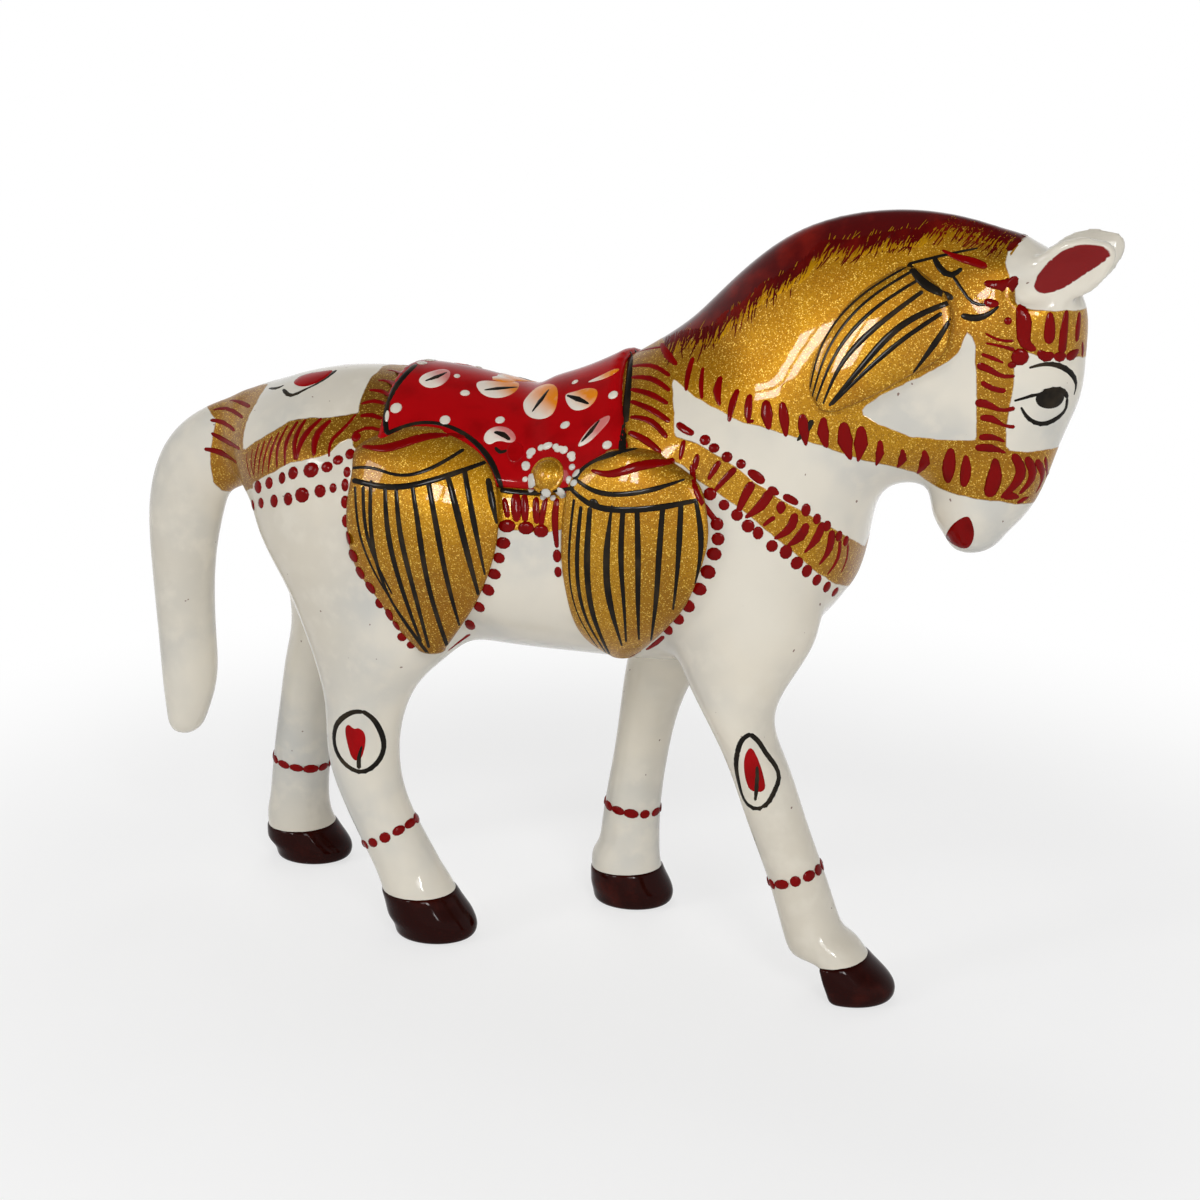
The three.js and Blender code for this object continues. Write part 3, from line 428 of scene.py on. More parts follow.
# Ovals on the legs: the left leg with the same, the rim, the dab in it, and a line with its widths
LEG_OVALS = {
    "rear_right": ("rear_left", [
        (362, 711), (372, 718), (380, 730), (384, 745), (381, 757), (374, 766), (361, 772), (350, 768),
        (340, 758), (335, 747), (334, 735), (337, 724), (345, 716), (354, 712), (363, 712),
    ], [
        (344, 728), (348, 723), (354, 729), (359, 727), (366, 733), (366, 746), (361, 762), (352, 761),
        (347, 745),
    ], ((2, 4, 5), [(362, 746), (359, 757), (359, 769)])),
    "front_right": ("front_left", [
        (750, 734), (758, 741), (766, 753), (775, 765), (779, 778), (775, 790), (767, 804), (757, 809),
        (748, 805), (742, 795), (738, 780), (736, 765), (738, 750), (744, 738), (751, 734),
    ], [
        (751, 745), (758, 757), (764, 775), (767, 793), (750, 793), (745, 780), (743, 765), (745, 752),
    ], ((3, 5, 3), [(757, 766), (757, 782), (755, 801)])),
}
# Dots: place, half width, half height
RED_DOTS = [
    # rows under the crupper
    (258, 487, 4, 6), (269, 483, 4, 5.5), (282, 478, 3.5, 5.5), (293, 473, 5, 6), (311, 470, 7.5, 7),
    (327, 467, 5.5, 5), (338, 460, 5, 4.5), (350, 454, 4.5, 5), (356, 437, 4.5, 4.5), (253, 505, 2.5, 5),
    (261, 503, 3, 5), (274, 501, 4, 6), (288, 499, 4.5, 6), (302, 495, 7, 7), (320, 491, 5.5, 6),
    (333, 488, 3.5, 4.5), (345, 485, 3.5, 6),
    # round the rear bag
    (347, 472, 3.5, 5), (345, 502, 4, 6), (346, 521, 4, 6), (348, 538, 4, 6), (353, 556, 4.5, 6),
    (360, 573, 4.5, 6), (370, 588, 5, 6), (380, 603, 4.5, 5), (389, 615, 4, 6), (396, 626, 3.5, 5),
    (402, 637, 4.5, 4), (411, 645, 4, 3.5), (503, 543, 7, 5.5), (499, 558, 5.5, 5), (494, 574, 6.5, 5),
    (488, 590, 6, 5.5), (479, 607, 5.5, 5), (470, 625, 5, 5),
    # round the front bag
    (717, 524, 6, 6), (718, 539, 6, 6), (714, 554, 7, 6), (708, 572, 7, 6.5), (699, 589, 7, 6),
    (688, 606, 6.5, 6), (678, 619, 6, 5.5), (668, 630, 5, 5), (557, 556, 4, 6), (558, 572, 3.5, 5),
    # breast collar
    (705, 440, 5, 5), (714, 448, 5, 4.5), (727, 457, 5, 5), (741, 464, 4.5, 4.5), (806, 510, 4.5, 6),
    (817, 519, 4, 5), (827, 526, 4, 5), (839, 536, 3.5, 5), (846, 541, 3, 5), (710, 494, 6, 6),
    (724, 505, 5, 5), (737, 515, 5.5, 5.5), (748, 526, 6, 6), (758, 533, 5, 6), (772, 546, 5.5, 5.5),
    (786, 552, 6, 6.5), (797, 563, 6, 6), (807, 571, 5, 6), (817, 580, 4.5, 5.5), (827, 587, 4, 5.5),
    (835, 592, 3.5, 5),
    # girth, brow and bridle
    (507, 526, 8, 6), (526, 528, 7.5, 6), (541, 531, 7, 6), (1020, 357, 8, 7.5), (1008, 321, 3.5, 3.5),
    (1012, 365, 4, 3),
]
WHITE_DOTS = [
    (422, 363, 5, 2.5), (469, 364, 4, 2), (457, 376, 3, 2), (465, 393, 4.5, 3), (396, 408, 5.5, 5),
    (387, 416, 2, 6), (445, 420, 5, 4.5), (500, 420, 4.5, 3.5), (565, 425, 4.5, 3.5), (607, 445, 4.5, 4),
    (613, 395, 4.5, 4), (571, 455, 4, 3.5), (559, 449, 4.5, 3), (547, 446, 5, 3.5), (531, 452, 4.5, 4),
    (526, 466, 4, 4.5), (572, 467, 3, 3), (569, 480, 3, 4), (531, 481, 4.5, 7), (546, 493, 4.5, 4),
    (560, 492, 5, 4), (575, 382, 3, 2), (520, 376, 3, 2),
]
# Petals of the saddle: how far orange and pink shade them, then the outline
PETALS = [
    (0.0, 0.55, [
        (417, 382), (421, 375), (431, 371), (444, 368), (452, 371), (449, 380), (440, 387), (427, 389),
    ]),
    (0.5, 0.0, [
        (474, 384), (480, 380), (500, 381), (521, 381), (519, 390), (508, 397), (494, 399), (481, 395),
    ]),
    (0.75, 0.0, [
        (521, 404), (528, 394), (538, 385), (552, 382), (559, 388), (558, 404), (553, 416), (540, 421),
        (526, 417),
    ]),
    (0.7, 0.0, [
        (564, 394), (572, 392), (588, 387), (599, 389), (597, 400), (588, 409), (574, 412), (566, 404),
    ]),
    (0.0, 0.45, [
        (482, 440), (486, 430), (498, 425), (511, 428), (518, 438), (512, 444), (498, 440), (489, 446),
    ]),
    (0.0, 0.95, [
        (575, 449), (584, 434), (596, 421), (611, 413), (610, 421), (600, 432), (588, 444),
    ]),
    (0.9, 0.0, [(494, 376), (503, 372), (515, 375), (524, 380), (510, 382)]),
    (0.9, 0.0, [(583, 384), (600, 376), (616, 368), (622, 369), (606, 379)]),
]
EAR_RED = [
    (1033, 289), (1037, 276), (1048, 262), (1062, 251), (1079, 244), (1095, 240), (1110, 238), (1120, 242),
    (1117, 251), (1104, 262), (1084, 275), (1066, 287), (1054, 292), (1042, 294),
]
ROSETTE_DAB = [(507, 445), (514, 441), (524, 444), (524, 458), (512, 466), (506, 456)]
PUPIL = [
    (1034, 399), (1038, 392), (1049, 389), (1061, 390), (1066, 397), (1061, 406), (1050, 410), (1038, 407),
]
NOSTRIL = [
    (968, 515), (972, 520), (975, 531), (974, 540), (970, 548), (963, 550), (952, 545), (944, 538),
    (947, 531), (952, 524), (960, 518),
]
RUMP_DAB = [(291, 384), (297, 377), (308, 373), (322, 371), (336, 369), (328, 377), (318, 383), (303, 388)]
# A pixel of each leg's ring of dots
ANKLETS = {
    "front_right": (800, 884), "rear_right": (398, 841), "front_left": (632, 813), "rear_left": (302, 767),
}
# The mane's last lock and the seam under the belly, each a stroke, and the widths round an oval
MANE_END = ((5, 8, 9), [(1030, 232), (1018, 240), (1008, 251)])
BELLY_SEAM = ((4, 7, 5, 3), [(626, 664), (645, 674), (664, 683), (682, 691)])
OVAL_RIM = (5, 6, 6, 5, 6, 6, 5)


# Lofts

LOFT_SIDES, LOFT_SPAN = 56, 0.5  # points round a ring, and millimetres from ring to ring
FEWEST_RINGS = 12
DOME_STEPS, DOME_TIP = 7, 0.02
TRUNK_EGG = 0.05
EAR_SIDES, EAR_SPAN = 40, 0.25


def spline(knots, values, at):
    """A smooth curve through the values, which runs out straight at its ends."""
    knots, values = np.asarray(knots, float), np.asarray(values, float)
    count, gaps = len(knots), np.diff(knots)
    slopes = np.diff(values, axis=0) / gaps[:, None]
    system, bends = np.eye(count), np.zeros_like(values)
    for i in range(1, count - 1):
        system[i, i - 1:i + 2] = gaps[i - 1], 2 * (gaps[i - 1] + gaps[i]), gaps[i]
        bends[i] = 6 * (slopes[i] - slopes[i - 1])
    bends = np.linalg.solve(system, bends)
    i = np.clip(np.searchsorted(knots, at) - 1, 0, count - 2)
    gap = gaps[i][:, None]
    before, after = (np.asarray(at) - knots[i])[:, None], (knots[i + 1] - np.asarray(at))[:, None]
    low, high = bends[i], bends[i + 1]
    cubic = (low * after**3 + high * before**3) / (6 * gap)
    return (
        cubic
        + (values[i] / gap - low * gap / 6) * after
        + (values[i + 1] / gap - high * gap / 6) * before
    )


def run_lengths(points):
    """How far along a line each of its points lies."""
    return np.concatenate([[0], np.cumsum(np.linalg.norm(np.diff(points, axis=0), axis=1))])


def section(upper, lower, y, half, egg=0.0):
    """An egg in a plane that holds the Y axis: centre, half height, half width and egg."""
    upper, lower = np.asarray(upper, float), np.asarray(lower, float)
    centre, tall = (upper + lower) / 2, (upper - lower) / 2
    return [centre[0], y, centre[1], tall[0], 0, tall[1], half, egg]


def loft(sections, domes=(0, 0), sides=LOFT_SIDES, span=LOFT_SPAN):
    """A closed smooth skin through the sections: points, and faces of four and three corners."""
    rows = np.array(sections, float)
    knots = run_lengths(rows[:, :3])
    steps = max(FEWEST_RINGS, int(knots[-1] / span))
    rings = spline(knots, rows, np.linspace(0, knots[-1], steps))
    shrink = np.ones(len(rings))
    for end in (0, 1):
        if not domes[end]:
            continue
        edge, inner = (rings[0], rings[1]) if end == 0 else (rings[-1], rings[-2])
        outward = edge[:3] - inner[:3]
        outward *= domes[end] * edge[6] / np.linalg.norm(outward)
        turns = np.linspace(0, math.pi / 2, DOME_STEPS + 1)[1:]
        cap = np.repeat(edge[None], DOME_STEPS, 0)
        cap[:, :3] += np.sin(turns)[:, None] * outward
        small = np.maximum(np.cos(turns), DOME_TIP)
        if end == 0:
            rings, shrink = np.vstack([cap[::-1], rings]), np.concatenate([small[::-1], shrink])
        else:
            rings, shrink = np.vstack([rings, cap]), np.concatenate([shrink, small])
    turn = np.linspace(0, 2 * math.pi, sides, endpoint=False)
    cosine, sine = np.cos(turn)[None, :, None], np.sin(turn)[None, :]
    centre, tall, half, egg = rings[:, None, :3], rings[:, None, 3:6], rings[:, 6:7], rings[:, 7:8]
    points = centre + shrink[:, None, None] * cosine * tall
    points[..., 1] += shrink[:, None] * half * sine * (1 - egg * cosine[..., 0])
    return ring_faces(points)


def ring_faces(points):
    """Faces between rings of points, with both ends closed to their middles."""
    count, sides = points.shape[:2]
    grid = np.arange(count * sides).reshape(count, sides)
    following = np.roll(grid, -1, 1)
    quads = np.stack([grid[:-1], following[:-1], following[1:], grid[1:]], -1).reshape(-1, 4)
    ends = np.array([points[0].mean(0), points[-1].mean(0)])
    start, stop = count * sides, count * sides + 1
    first = np.stack([np.full(sides, start), following[0], grid[0]], -1)
    last = np.stack([np.full(sides, stop), grid[-1], following[-1]], -1)
    return np.vstack([points.reshape(-1, 3), ends]), quads, np.vstack([first, last])


def from_rows(rows, start, unit, width):
    """Sections from a table of two points, a width and perhaps an egg."""
    made = []
    for row in rows:
        upper, lower = start + np.array(row[:2]) * unit, start + np.array(row[2:4]) * unit
        made.append(section(upper, lower, 0, row[4] * width / 2, row[5] if len(row) > 5 else 0))
    return made


def trunk_sections():
    made = []
    for place, rise, lift, width in TRUNK_ROWS:
        x = place * (RUMP_LENGTH if place < 0 else BREAST_LENGTH)
        back = (x, BACK_HEIGHT + rise * BARREL_DEPTH)
        belly = (x, BELLY_HEIGHT + lift * BARREL_DEPTH)
        made.append(section(back, belly, 0, width * BARREL_WIDTH / 2, TRUNK_EGG))
    return made


def leg_sections(leg):
    sole, side, upper, lower = LEGS[leg]
    barrel = BARREL_WIDTH / 2
    made = []
    for height, ahead, long, out, half in upper:
        x, z = sole + ahead * BELLY_HEIGHT, BELLY_HEIGHT + (height - 1) * BARREL_DEPTH
        ends = ((x + long * barrel, z), (x - long * barrel, z))
        made.append(section(*ends, side * out * barrel, half * barrel))
    for height, ahead, long, half in lower:
        x, z = sole + ahead * BELLY_HEIGHT, height * BELLY_HEIGHT
        ends = ((x + long * LEG_WIDTH, z), (x - long * LEG_WIDTH, z))
        made.append(section(*ends, side * TRACK / 2, half * LEG_WIDTH))
    return made


def hoof_sections(leg):
    sole, side = LEGS[leg][:2]
    made = []
    for height, ahead, length, width in HOOF_ROWS:
        x, z, long = sole + ahead * HOOF_LENGTH, height * HOOF_HEIGHT, length * HOOF_LENGTH / 2
        made.append(section((x + long, z), (x - long, z), side * TRACK / 2, width * HOOF_WIDTH / 2))
    return made


def turned(a, b, angle):
    """Two coordinates, turned by an angle."""
    return a * math.cos(angle) - b * math.sin(angle), a * math.sin(angle) + b * math.cos(angle)


def ear_loft(side, widen=1.0, inset=0.0):
    """An ear leaf in its place. Inset moves it out of its own face, to scoop the inside."""
    rows = []
    for place, width in EAR_ROWS:
        z, half = place * EAR_LENGTH, width * widen * EAR_WIDTH / 2
        rows.append(section((half, z), (-half, z), side * inset, width * widen * EAR_THICKNESS / 2))
    points, quads, caps = loft(rows, (0, 1), EAR_SIDES, EAR_SPAN)
    x, y, z = points.T
    x, z = turned(x, z, -EAR_LEAN)
    y, z = turned(y, z, -side * EAR_SPLAY)
    return np.stack([x + EAR_ROOT[0], y + side * EAR_SPREAD / 2, z + EAR_ROOT[1]], -1), quads, caps


# Distance fields

BAND = 5  # how far from a surface its distance is known
SKIN_VOXEL, FINE_VOXEL = 0.42, 0.2
EASE, SWELL_BACK = 0.5, -0.52  # shares of the way to a point's neighbours
TINY = 1e-9


class Block:
    """A block of space cut into cells, in which shapes are distances to their surfaces."""

    def __init__(self, low, high, cell):
        self.cell = cell
        self.first = np.floor(np.asarray(low) / cell).astype(int)
        self.shape = tuple(np.ceil(np.asarray(high) / cell).astype(int) - self.first + 1)
        self.corner = tuple(int(i) for i in self.first)
        self.frame = openvdb.createLinearTransform(voxelSize=cell)

    def of(self, shape):
        points, quads, caps = shape
        grid = openvdb.FloatGrid.createLevelSetFromPolygons(
            points.astype(np.float32), triangles=caps.astype(np.uint32), quads=quads.astype(np.uint32),
            transform=self.frame, halfWidth=BAND / self.cell,
        )
        field = np.zeros(self.shape, np.float32)
        grid.copyToArray(field, ijk=self.corner)
        return field

    def axes(self):
        return [
            ((first + np.arange(count)) * self.cell).reshape([-1 if k == axis else 1 for k in range(3)])
            for axis, (first, count) in enumerate(zip(self.first, self.shape))
        ]

    def whole(self, values):
        """Values along some axes, spread over the whole block."""
        return np.broadcast_to(values, self.shape).astype(np.float32)

    def surface(self, field, passes):
        """Points and outward faces of a field's surface, eased in a number of passes."""
        grid = openvdb.FloatGrid()
        grid.copyFromArray(field, ijk=self.corner)
        grid.transform = self.frame
        points, quads = grid.convertToQuads(isovalue=0)
        quads = np.asarray(quads, int)
        points = smooth_points(points.astype(float), quads, passes)
        return points, quads[:, ::-1] if inside_out(points, quads) else quads

    def sampled(self, field, points):
        """A field's value at points, between its cells."""
        place = points / self.cell - self.first
        base = np.clip(np.floor(place).astype(int), 0, np.array(self.shape) - 2)
        share, total = place - base, 0
        for corner in np.ndindex(2, 2, 2):
            weight = np.prod(np.where(corner, share, 1 - share), axis=1)
            total = total + weight * field[tuple((base + corner).T)]
        return total


def melt(a, b, reach):
    """Two shapes joined with a soft fillet."""
    near = np.maximum(reach - np.abs(a - b), 0) / reach
    return np.minimum(a, b) - near * near * reach / 4


def trim(a, b, reach):
    """What two shapes share, with the edge between them rounded."""
    return -melt(-a, -b, reach)


def soften(field, passes):
    for _ in range(passes):
        for axis in range(3):
            padded = np.pad(field, [(1, 1) if k == axis else (0, 0) for k in range(3)], mode="edge")
            count = field.shape[axis]
            before, after = (np.take(padded, range(k, k + count), axis) for k in (0, 2))
            field = (before + 2 * field + after) / 4
    return field


def smooth_points(points, quads, passes):
    """Eases small steps out of a surface, and swells it back to its size."""
    pairs = np.vstack([quads[:, [0, 1]], quads[:, [1, 2]], quads[:, [2, 3]], quads[:, [3, 0]]])
    pairs = np.vstack([pairs, pairs[:, ::-1]])
    weight = np.bincount(pairs[:, 0], minlength=len(points))[:, None]
    for _ in range(passes):
        for share in (EASE, SWELL_BACK):
            total = np.stack(
                [np.bincount(pairs[:, 0], points[pairs[:, 1], k], len(points)) for k in range(3)], -1
            )
            points = points + share * (total / weight - points)
    return points


def inside_out(points, quads):
    """Whether the faces of a closed shape point inwards."""
    a, b, c = (points[quads[:, k]] for k in range(3))
    return np.einsum("ij,ij->i", a, np.cross(b, c)).sum() < 0


def outline_distance(points, outline):
    """Signed distance of flat points to a closed outline, less than zero inside."""
    outline = np.asarray(outline, float)
    best = np.full(len(points), np.inf)
    inside = np.zeros(len(points), bool)
    for start, end in zip(outline, np.roll(outline, -1, 0)):
        along, to = end - start, points - start
        share = np.clip((to @ along) / (along @ along), 0, 1)
        best = np.minimum(best, ((to - share[:, None] * along) ** 2).sum(1))
        crosses = (start[1] > points[:, 1]) != (end[1] > points[:, 1])
        reach = start[0] + (points[:, 1] - start[1]) * along[0] / (along[1] or TINY)
        inside ^= crosses & (points[:, 0] < reach)
    return np.sqrt(best) * np.where(inside, -1, 1)


# The photograph's view

VIEW_BACK = np.array([
    math.sin(VIEW_AZIMUTH) * math.cos(VIEW_ELEVATION),
    -math.cos(VIEW_AZIMUTH) * math.cos(VIEW_ELEVATION),
    math.sin(VIEW_ELEVATION),
])
VIEW_RIGHT = np.array([math.cos(VIEW_AZIMUTH), math.sin(VIEW_AZIMUTH), 0])
VIEW_UP = np.cross(VIEW_BACK, VIEW_RIGHT)
VIEW_EYE = VIEW_AIM + VIEW_DISTANCE * VIEW_BACK


def in_picture(points):
    """Pixels of points on the horse, and the millimetres that a pixel spans there."""
    seen = points - VIEW_EYE
    depth = -(seen @ VIEW_BACK)
    across, down = seen @ VIEW_RIGHT / depth, -(seen @ VIEW_UP) / depth
    pixels = PICTURE / 2 + FOCAL_PIXELS * np.stack([across, down], -1)
    return pixels, depth / FOCAL_PIXELS


def sight(pixel):
    """The way that a pixel of the photograph looks."""
    across, down = (np.asarray(pixel, float) - PICTURE / 2) / FOCAL_PIXELS
    line = across * VIEW_RIGHT - down * VIEW_UP - VIEW_BACK
    return line / np.linalg.norm(line)


def pixel_span(spot):
    return np.linalg.norm(spot - VIEW_EYE) / FOCAL_PIXELS


# Making pieces

def raw_mesh(name, points, edges=(), faces=()):
    """A mesh in the row's frame and metres."""
    mesh = bpy.data.meshes.new(name)
    corners = ((np.asarray(points) + ROW_SHIFT) * MM).tolist()
    mesh.from_pydata(corners, list(edges), [list(map(int, face)) for face in faces])
    return mesh


def plain_mesh(name, points, faces):
    mesh = raw_mesh(name, points, faces=faces)
    mesh.validate()
    mesh.shade_smooth()
    mesh.update()
    return mesh


def store(mesh, name, values):
    """Keeps a value for each point of a mesh."""
    values = np.asarray(values, np.float32)
    kind, field = ("FLOAT", "value") if values.ndim == 1 else ("FLOAT_VECTOR", "vector")
    mesh.attributes.new(name, kind, "POINT").data.foreach_set(field, values.ravel())


def placed(name, data):
    """An object at the origin."""
    thing = bpy.data.objects.new(name, data)
    bpy.context.scene.collection.objects.link(thing)
    return thing


def piece(name, mesh, material, stands_for=()):
    thing = placed(name, mesh)
    mesh.materials.clear()
    mesh.materials.append(material)
    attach(thing, "root")
    if stands_for:
        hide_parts(*stands_for)
    return thing


def closed(shape):
    """Points and faces of a loft, as one list of faces that point outwards."""
    points, quads, caps = shape
    turn = -1 if inside_out(points, quads) else 1
    return points, quads[:, ::turn].tolist() + caps[:, ::turn].tolist()


def merged(shapes):
    """Shapes as one list of points and one of faces."""
    points, faces, start = [], [], 0
    for some, sides in shapes:
        points.append(np.asarray(some))
        faces += [[int(i) + start for i in side] for side in sides]
        start += len(some)
    return np.vstack(points), faces


def form_of(shapes):
    """Shapes as a form that lines can be cast at."""
    points, faces = merged(shapes)
    return BVHTree.FromPolygons(points.tolist(), faces)


def level_hit(form, x, z, side):
    """Where a level line from outside meets a form, and the form's facing there."""
    spot, facing, _, _ = form.ray_cast(Vector((x, side * OUTSIDE, z)), Vector((0, -side, 0)))
    return spot, facing


# Finishes

WHITE, WHITE_GREY, WHITE_WARM = (0.80, 0.75, 0.645), (0.62, 0.61, 0.565), (0.77, 0.69, 0.55)
PINHOLE = (0.16, 0.06, 0.04)
GOLD_DEEP, GOLD = (0.15, 0.05, 0.001), (0.32, 0.133, 0.0015)
# The last of these golds is a painted glint on some mica flakes
GOLD_LIGHT, GOLD_GLINT = (0.49, 0.24, 0.004), (1, 0.70, 0.12)
MAROON, MAROON_LIT = (0.085, 0.002, 0.002), (0.19, 0.008, 0.004)
RED, RED_DEEP, RED_BRIGHT = (0.215, 0.001, 0.001), (0.12, 0.0005, 0.0005), (0.38, 0.001, 0.003)
SADDLE_RED = (0.42, 0.002, 0.004)
BLACK, BLACK_WORN = (0.010, 0.008, 0.006), (0.045, 0.032, 0.018)
# The hooves' olive is a painted reflection, laid on at random places
HOOF, HOOF_LIT, HOOF_OLIVE_GLINT = (0.02, 0.002, 0.001), (0.055, 0.006, 0.003), (0.12, 0.085, 0.02)
HOOF_CHIP = (0.55, 0.52, 0.48)
PETAL, PETAL_PINK, PETAL_ORANGE = (0.82, 0.74, 0.64), (0.58, 0.05, 0.055), (0.80, 0.24, 0.006)
FLOOR, FLOOR_DIM, GLOW = (0.9, 0.9, 0.9), (0.87, 0.87, 0.87), (1.0, 1.0, 1.0)

# Cloudy layers: scale and detail of the noise, where a layer begins and is full, and its share at both
WHITE_CLOUDS = (70, 3, 0.38, 0.62)
WHITE_WARMTH = (33, 2, 0.42, 0.66, 0, 0.7)
WHITE_BRUSHWORK = (420, 4, 0.45, 0.75, 0, 0.6)
PINHOLES = (1300, 1, 0.785, 0.80, 0, 0.8)
GOLD_TONE = (120, 4, 0.3, 0.72)
GOLD_SHADE = (60, 2, 0.45, 0.7, 0, 0.7)
MAROON_TONE = (240, 4, 0.5, 0.75)
THIN_PAINT = (330, 5, 0.42, 0.75, 0)  # its full share is each paint's own
PETAL_CLOUDS = (900, 3, 0.55, 0.85, 0, 0.25)
HOOF_TONE = (300, 4, 0.5, 0.8)
# Where the hooves' painted olive reflection lies
HOOF_GLINT_PATCHES = (170, 1, 0.68, 0.76, 0, 0.6)
HOOF_CHIPS = (420, 3, 0.735, 0.75)
FLOOR_TONE = (40, 2, 0.3, 0.7)
# Flakes of mica: their scale, and which of them are dull and which carry a painted glint
FLAKE_SCALE = 11000
DULL_FLAKES, PAINTED_GLINT_FLAKES = (0.0, 0.45, 0.55, 0), (0.84, 1, 0, 0.7)
# Ripples: scale and detail of the noise, strength, and height in millimetres
ENAMEL_RIPPLE, HOOF_RIPPLE, BRUSH_RIPPLE = (260, 2, 0.22, 0.25), (350, 3, 0.18, 0.15), (900, 3, 0.2, 0.05)
# Raised grain and edges: strength, and height in millimetres
FLAKE_GRAIN, GOLD_STEP, FLOOR_GRAIN = (0.35, 0.05), (0.5, 0.06), (0.02, 0.1)
# Edges of painted areas: noise and swing of their wobble, and where a colour begins and is full
EDGE_NOISE, EDGE_MIDDLE, EDGE_SWING = (700, 3), 0.5, 0.35
GOLD_FADE, MANE_FADE, EAR_FADE = (-0.06, 0.06), (-0.25, 0.2), (-0.05, 0.05)
GOLD_METAL = 0.5
ENAMEL_ROUGHNESS, GOLD_ROUGHNESS, FLOOR_ROUGHNESS = 0.1, 0.4, 0.7
FULL_COAT, LEAN_COAT, COAT_ROUGHNESS = 0.3, 0.12, 0.04
FULL_GLOSS, LEAN_GLOSS = 0.08, 0.02
FLOOR_WHITE = (0.05, 0.13, 0.68, 1)  # metres from the horse, and the share of white there
BACKGROUND_RAYS = ("Is Camera Ray", "Is Glossy Ray", "Is Transmission Ray")


class Nodes:
    """A node tree that is put together node by node."""

    def __init__(self, tree):
        self.tree = tree

    def add(self, kind, inputs=None, **settings):
        node = self.tree.nodes.new(kind)
        for key, value in settings.items():
            setattr(node, key, value)
        for key, value in (inputs or {}).items():
            self.feed(node.inputs[key], value)
        return node

    def feed(self, socket, value):
        if isinstance(value, bpy.types.NodeSocket):
            self.tree.links.new(value, socket)
        elif isinstance(value, tuple):
            socket.default_value = (*value, 1)[: len(socket.default_value)]
        else:
            socket.default_value = value

    def sums(self, operation, a, b):
        return self.add("ShaderNodeMath", {0: a, 1: b}, operation=operation).outputs[0]

    def steps(self, value, low, high, start=0.0, end=1.0, kind="SMOOTHSTEP"):
        inputs = {"Value": value, "From Min": low, "From Max": high, "To Min": start, "To Max": end}
        return self.add("ShaderNodeMapRange", inputs, interpolation_type=kind).outputs["Result"]

    def level(self, share, a, b):
        return self.add("ShaderNodeMix", {0: share, 2: a, 3: b}, data_type="FLOAT").outputs[0]

    def background(self):
        """One for the rays that show the background, seen or mirrored, and nought for the rest."""
        rays = self.add("ShaderNodeLightPath").outputs
        seen, *mirrored = (rays[name] for name in BACKGROUND_RAYS)
        for ray in mirrored:
            seen = self.sums("MAXIMUM", seen, ray)
        return seen


class Finish(Nodes):
    """A paint made of nodes, which reads only the piece's own place and attributes."""

    def __init__(self, name):
        self.material = bpy.data.materials.new(name)
        self.material.use_nodes = True
        super().__init__(self.material.node_tree)
        self.shader = self.tree.nodes["Principled BSDF"]
        self.place = self.add("ShaderNodeTexCoord").outputs["Object"]

    def noise(self, scale, detail):
        inputs = {"Vector": self.place, "Scale": scale, "Detail": detail}
        return self.add("ShaderNodeTexNoise", inputs).outputs["Fac"]

    def layer(self, scale, detail, *steps):
        """A share that comes and goes with a noise."""
        return self.steps(self.noise(scale, detail), *steps)

    def flakes(self, scale):
        node = self.add("ShaderNodeTexVoronoi", {"Vector": self.place, "Scale": scale})
        return self.add("ShaderNodeSeparateColor", {"Color": node.outputs["Color"]}).outputs["Red"]

    def blend(self, share, a, b):
        return self.add("ShaderNodeMix", {0: share, 6: a, 7: b}, data_type="RGBA").outputs[2]

    def attribute(self, name):
        return self.add("ShaderNodeAttribute", attribute_name=name).outputs["Fac"]

    def raised(self, height, strength, distance, under=None):
        inputs = {"Height": height, "Strength": strength, "Distance": distance * MM}
        if under:
            inputs["Normal"] = under
        return self.add("ShaderNodeBump", inputs).outputs["Normal"]

    def ripple(self, scale, detail, strength, distance):
        return self.raised(self.noise(scale, detail), strength, distance)

    def paint(self, colour, roughness, normal, metallic=0.0, coat=FULL_COAT, gloss=FULL_GLOSS):
        for key, value in (
            ("Base Color", colour), ("Roughness", roughness), ("Normal", normal),
            ("Metallic", metallic), ("Coat Weight", coat), ("Coat Roughness", COAT_ROUGHNESS),
            ("Specular IOR Level", gloss),
        ):
            self.feed(self.shader.inputs[key], value)
        return self.material


def white_coat(finish):
    """Thick white enamel: cloudy, with a few pinholes and brush specks."""
    colour = finish.blend(finish.layer(*WHITE_CLOUDS), WHITE, WHITE_GREY)
    colour = finish.blend(finish.layer(*WHITE_WARMTH), colour, WHITE_WARM)
    colour = finish.blend(finish.layer(*WHITE_BRUSHWORK), colour, WHITE)
    return finish.blend(finish.layer(*PINHOLES), colour, PINHOLE)


def gold_coat(finish):
    """Gold paint with mica flakes: its colour with painted glints on some flakes, and the flakes for its
    grain.
    """
    flake = finish.flakes(FLAKE_SCALE)
    colour = finish.blend(finish.layer(*GOLD_TONE), GOLD, GOLD_LIGHT)
    colour = finish.blend(finish.layer(*GOLD_SHADE), colour, GOLD_DEEP)
    colour = finish.blend(finish.steps(flake, *DULL_FLAKES), colour, GOLD_DEEP)
    # some flakes carry a painted glint
    return finish.blend(finish.steps(flake, *PAINTED_GLINT_FLAKES), colour, GOLD_GLINT), flake


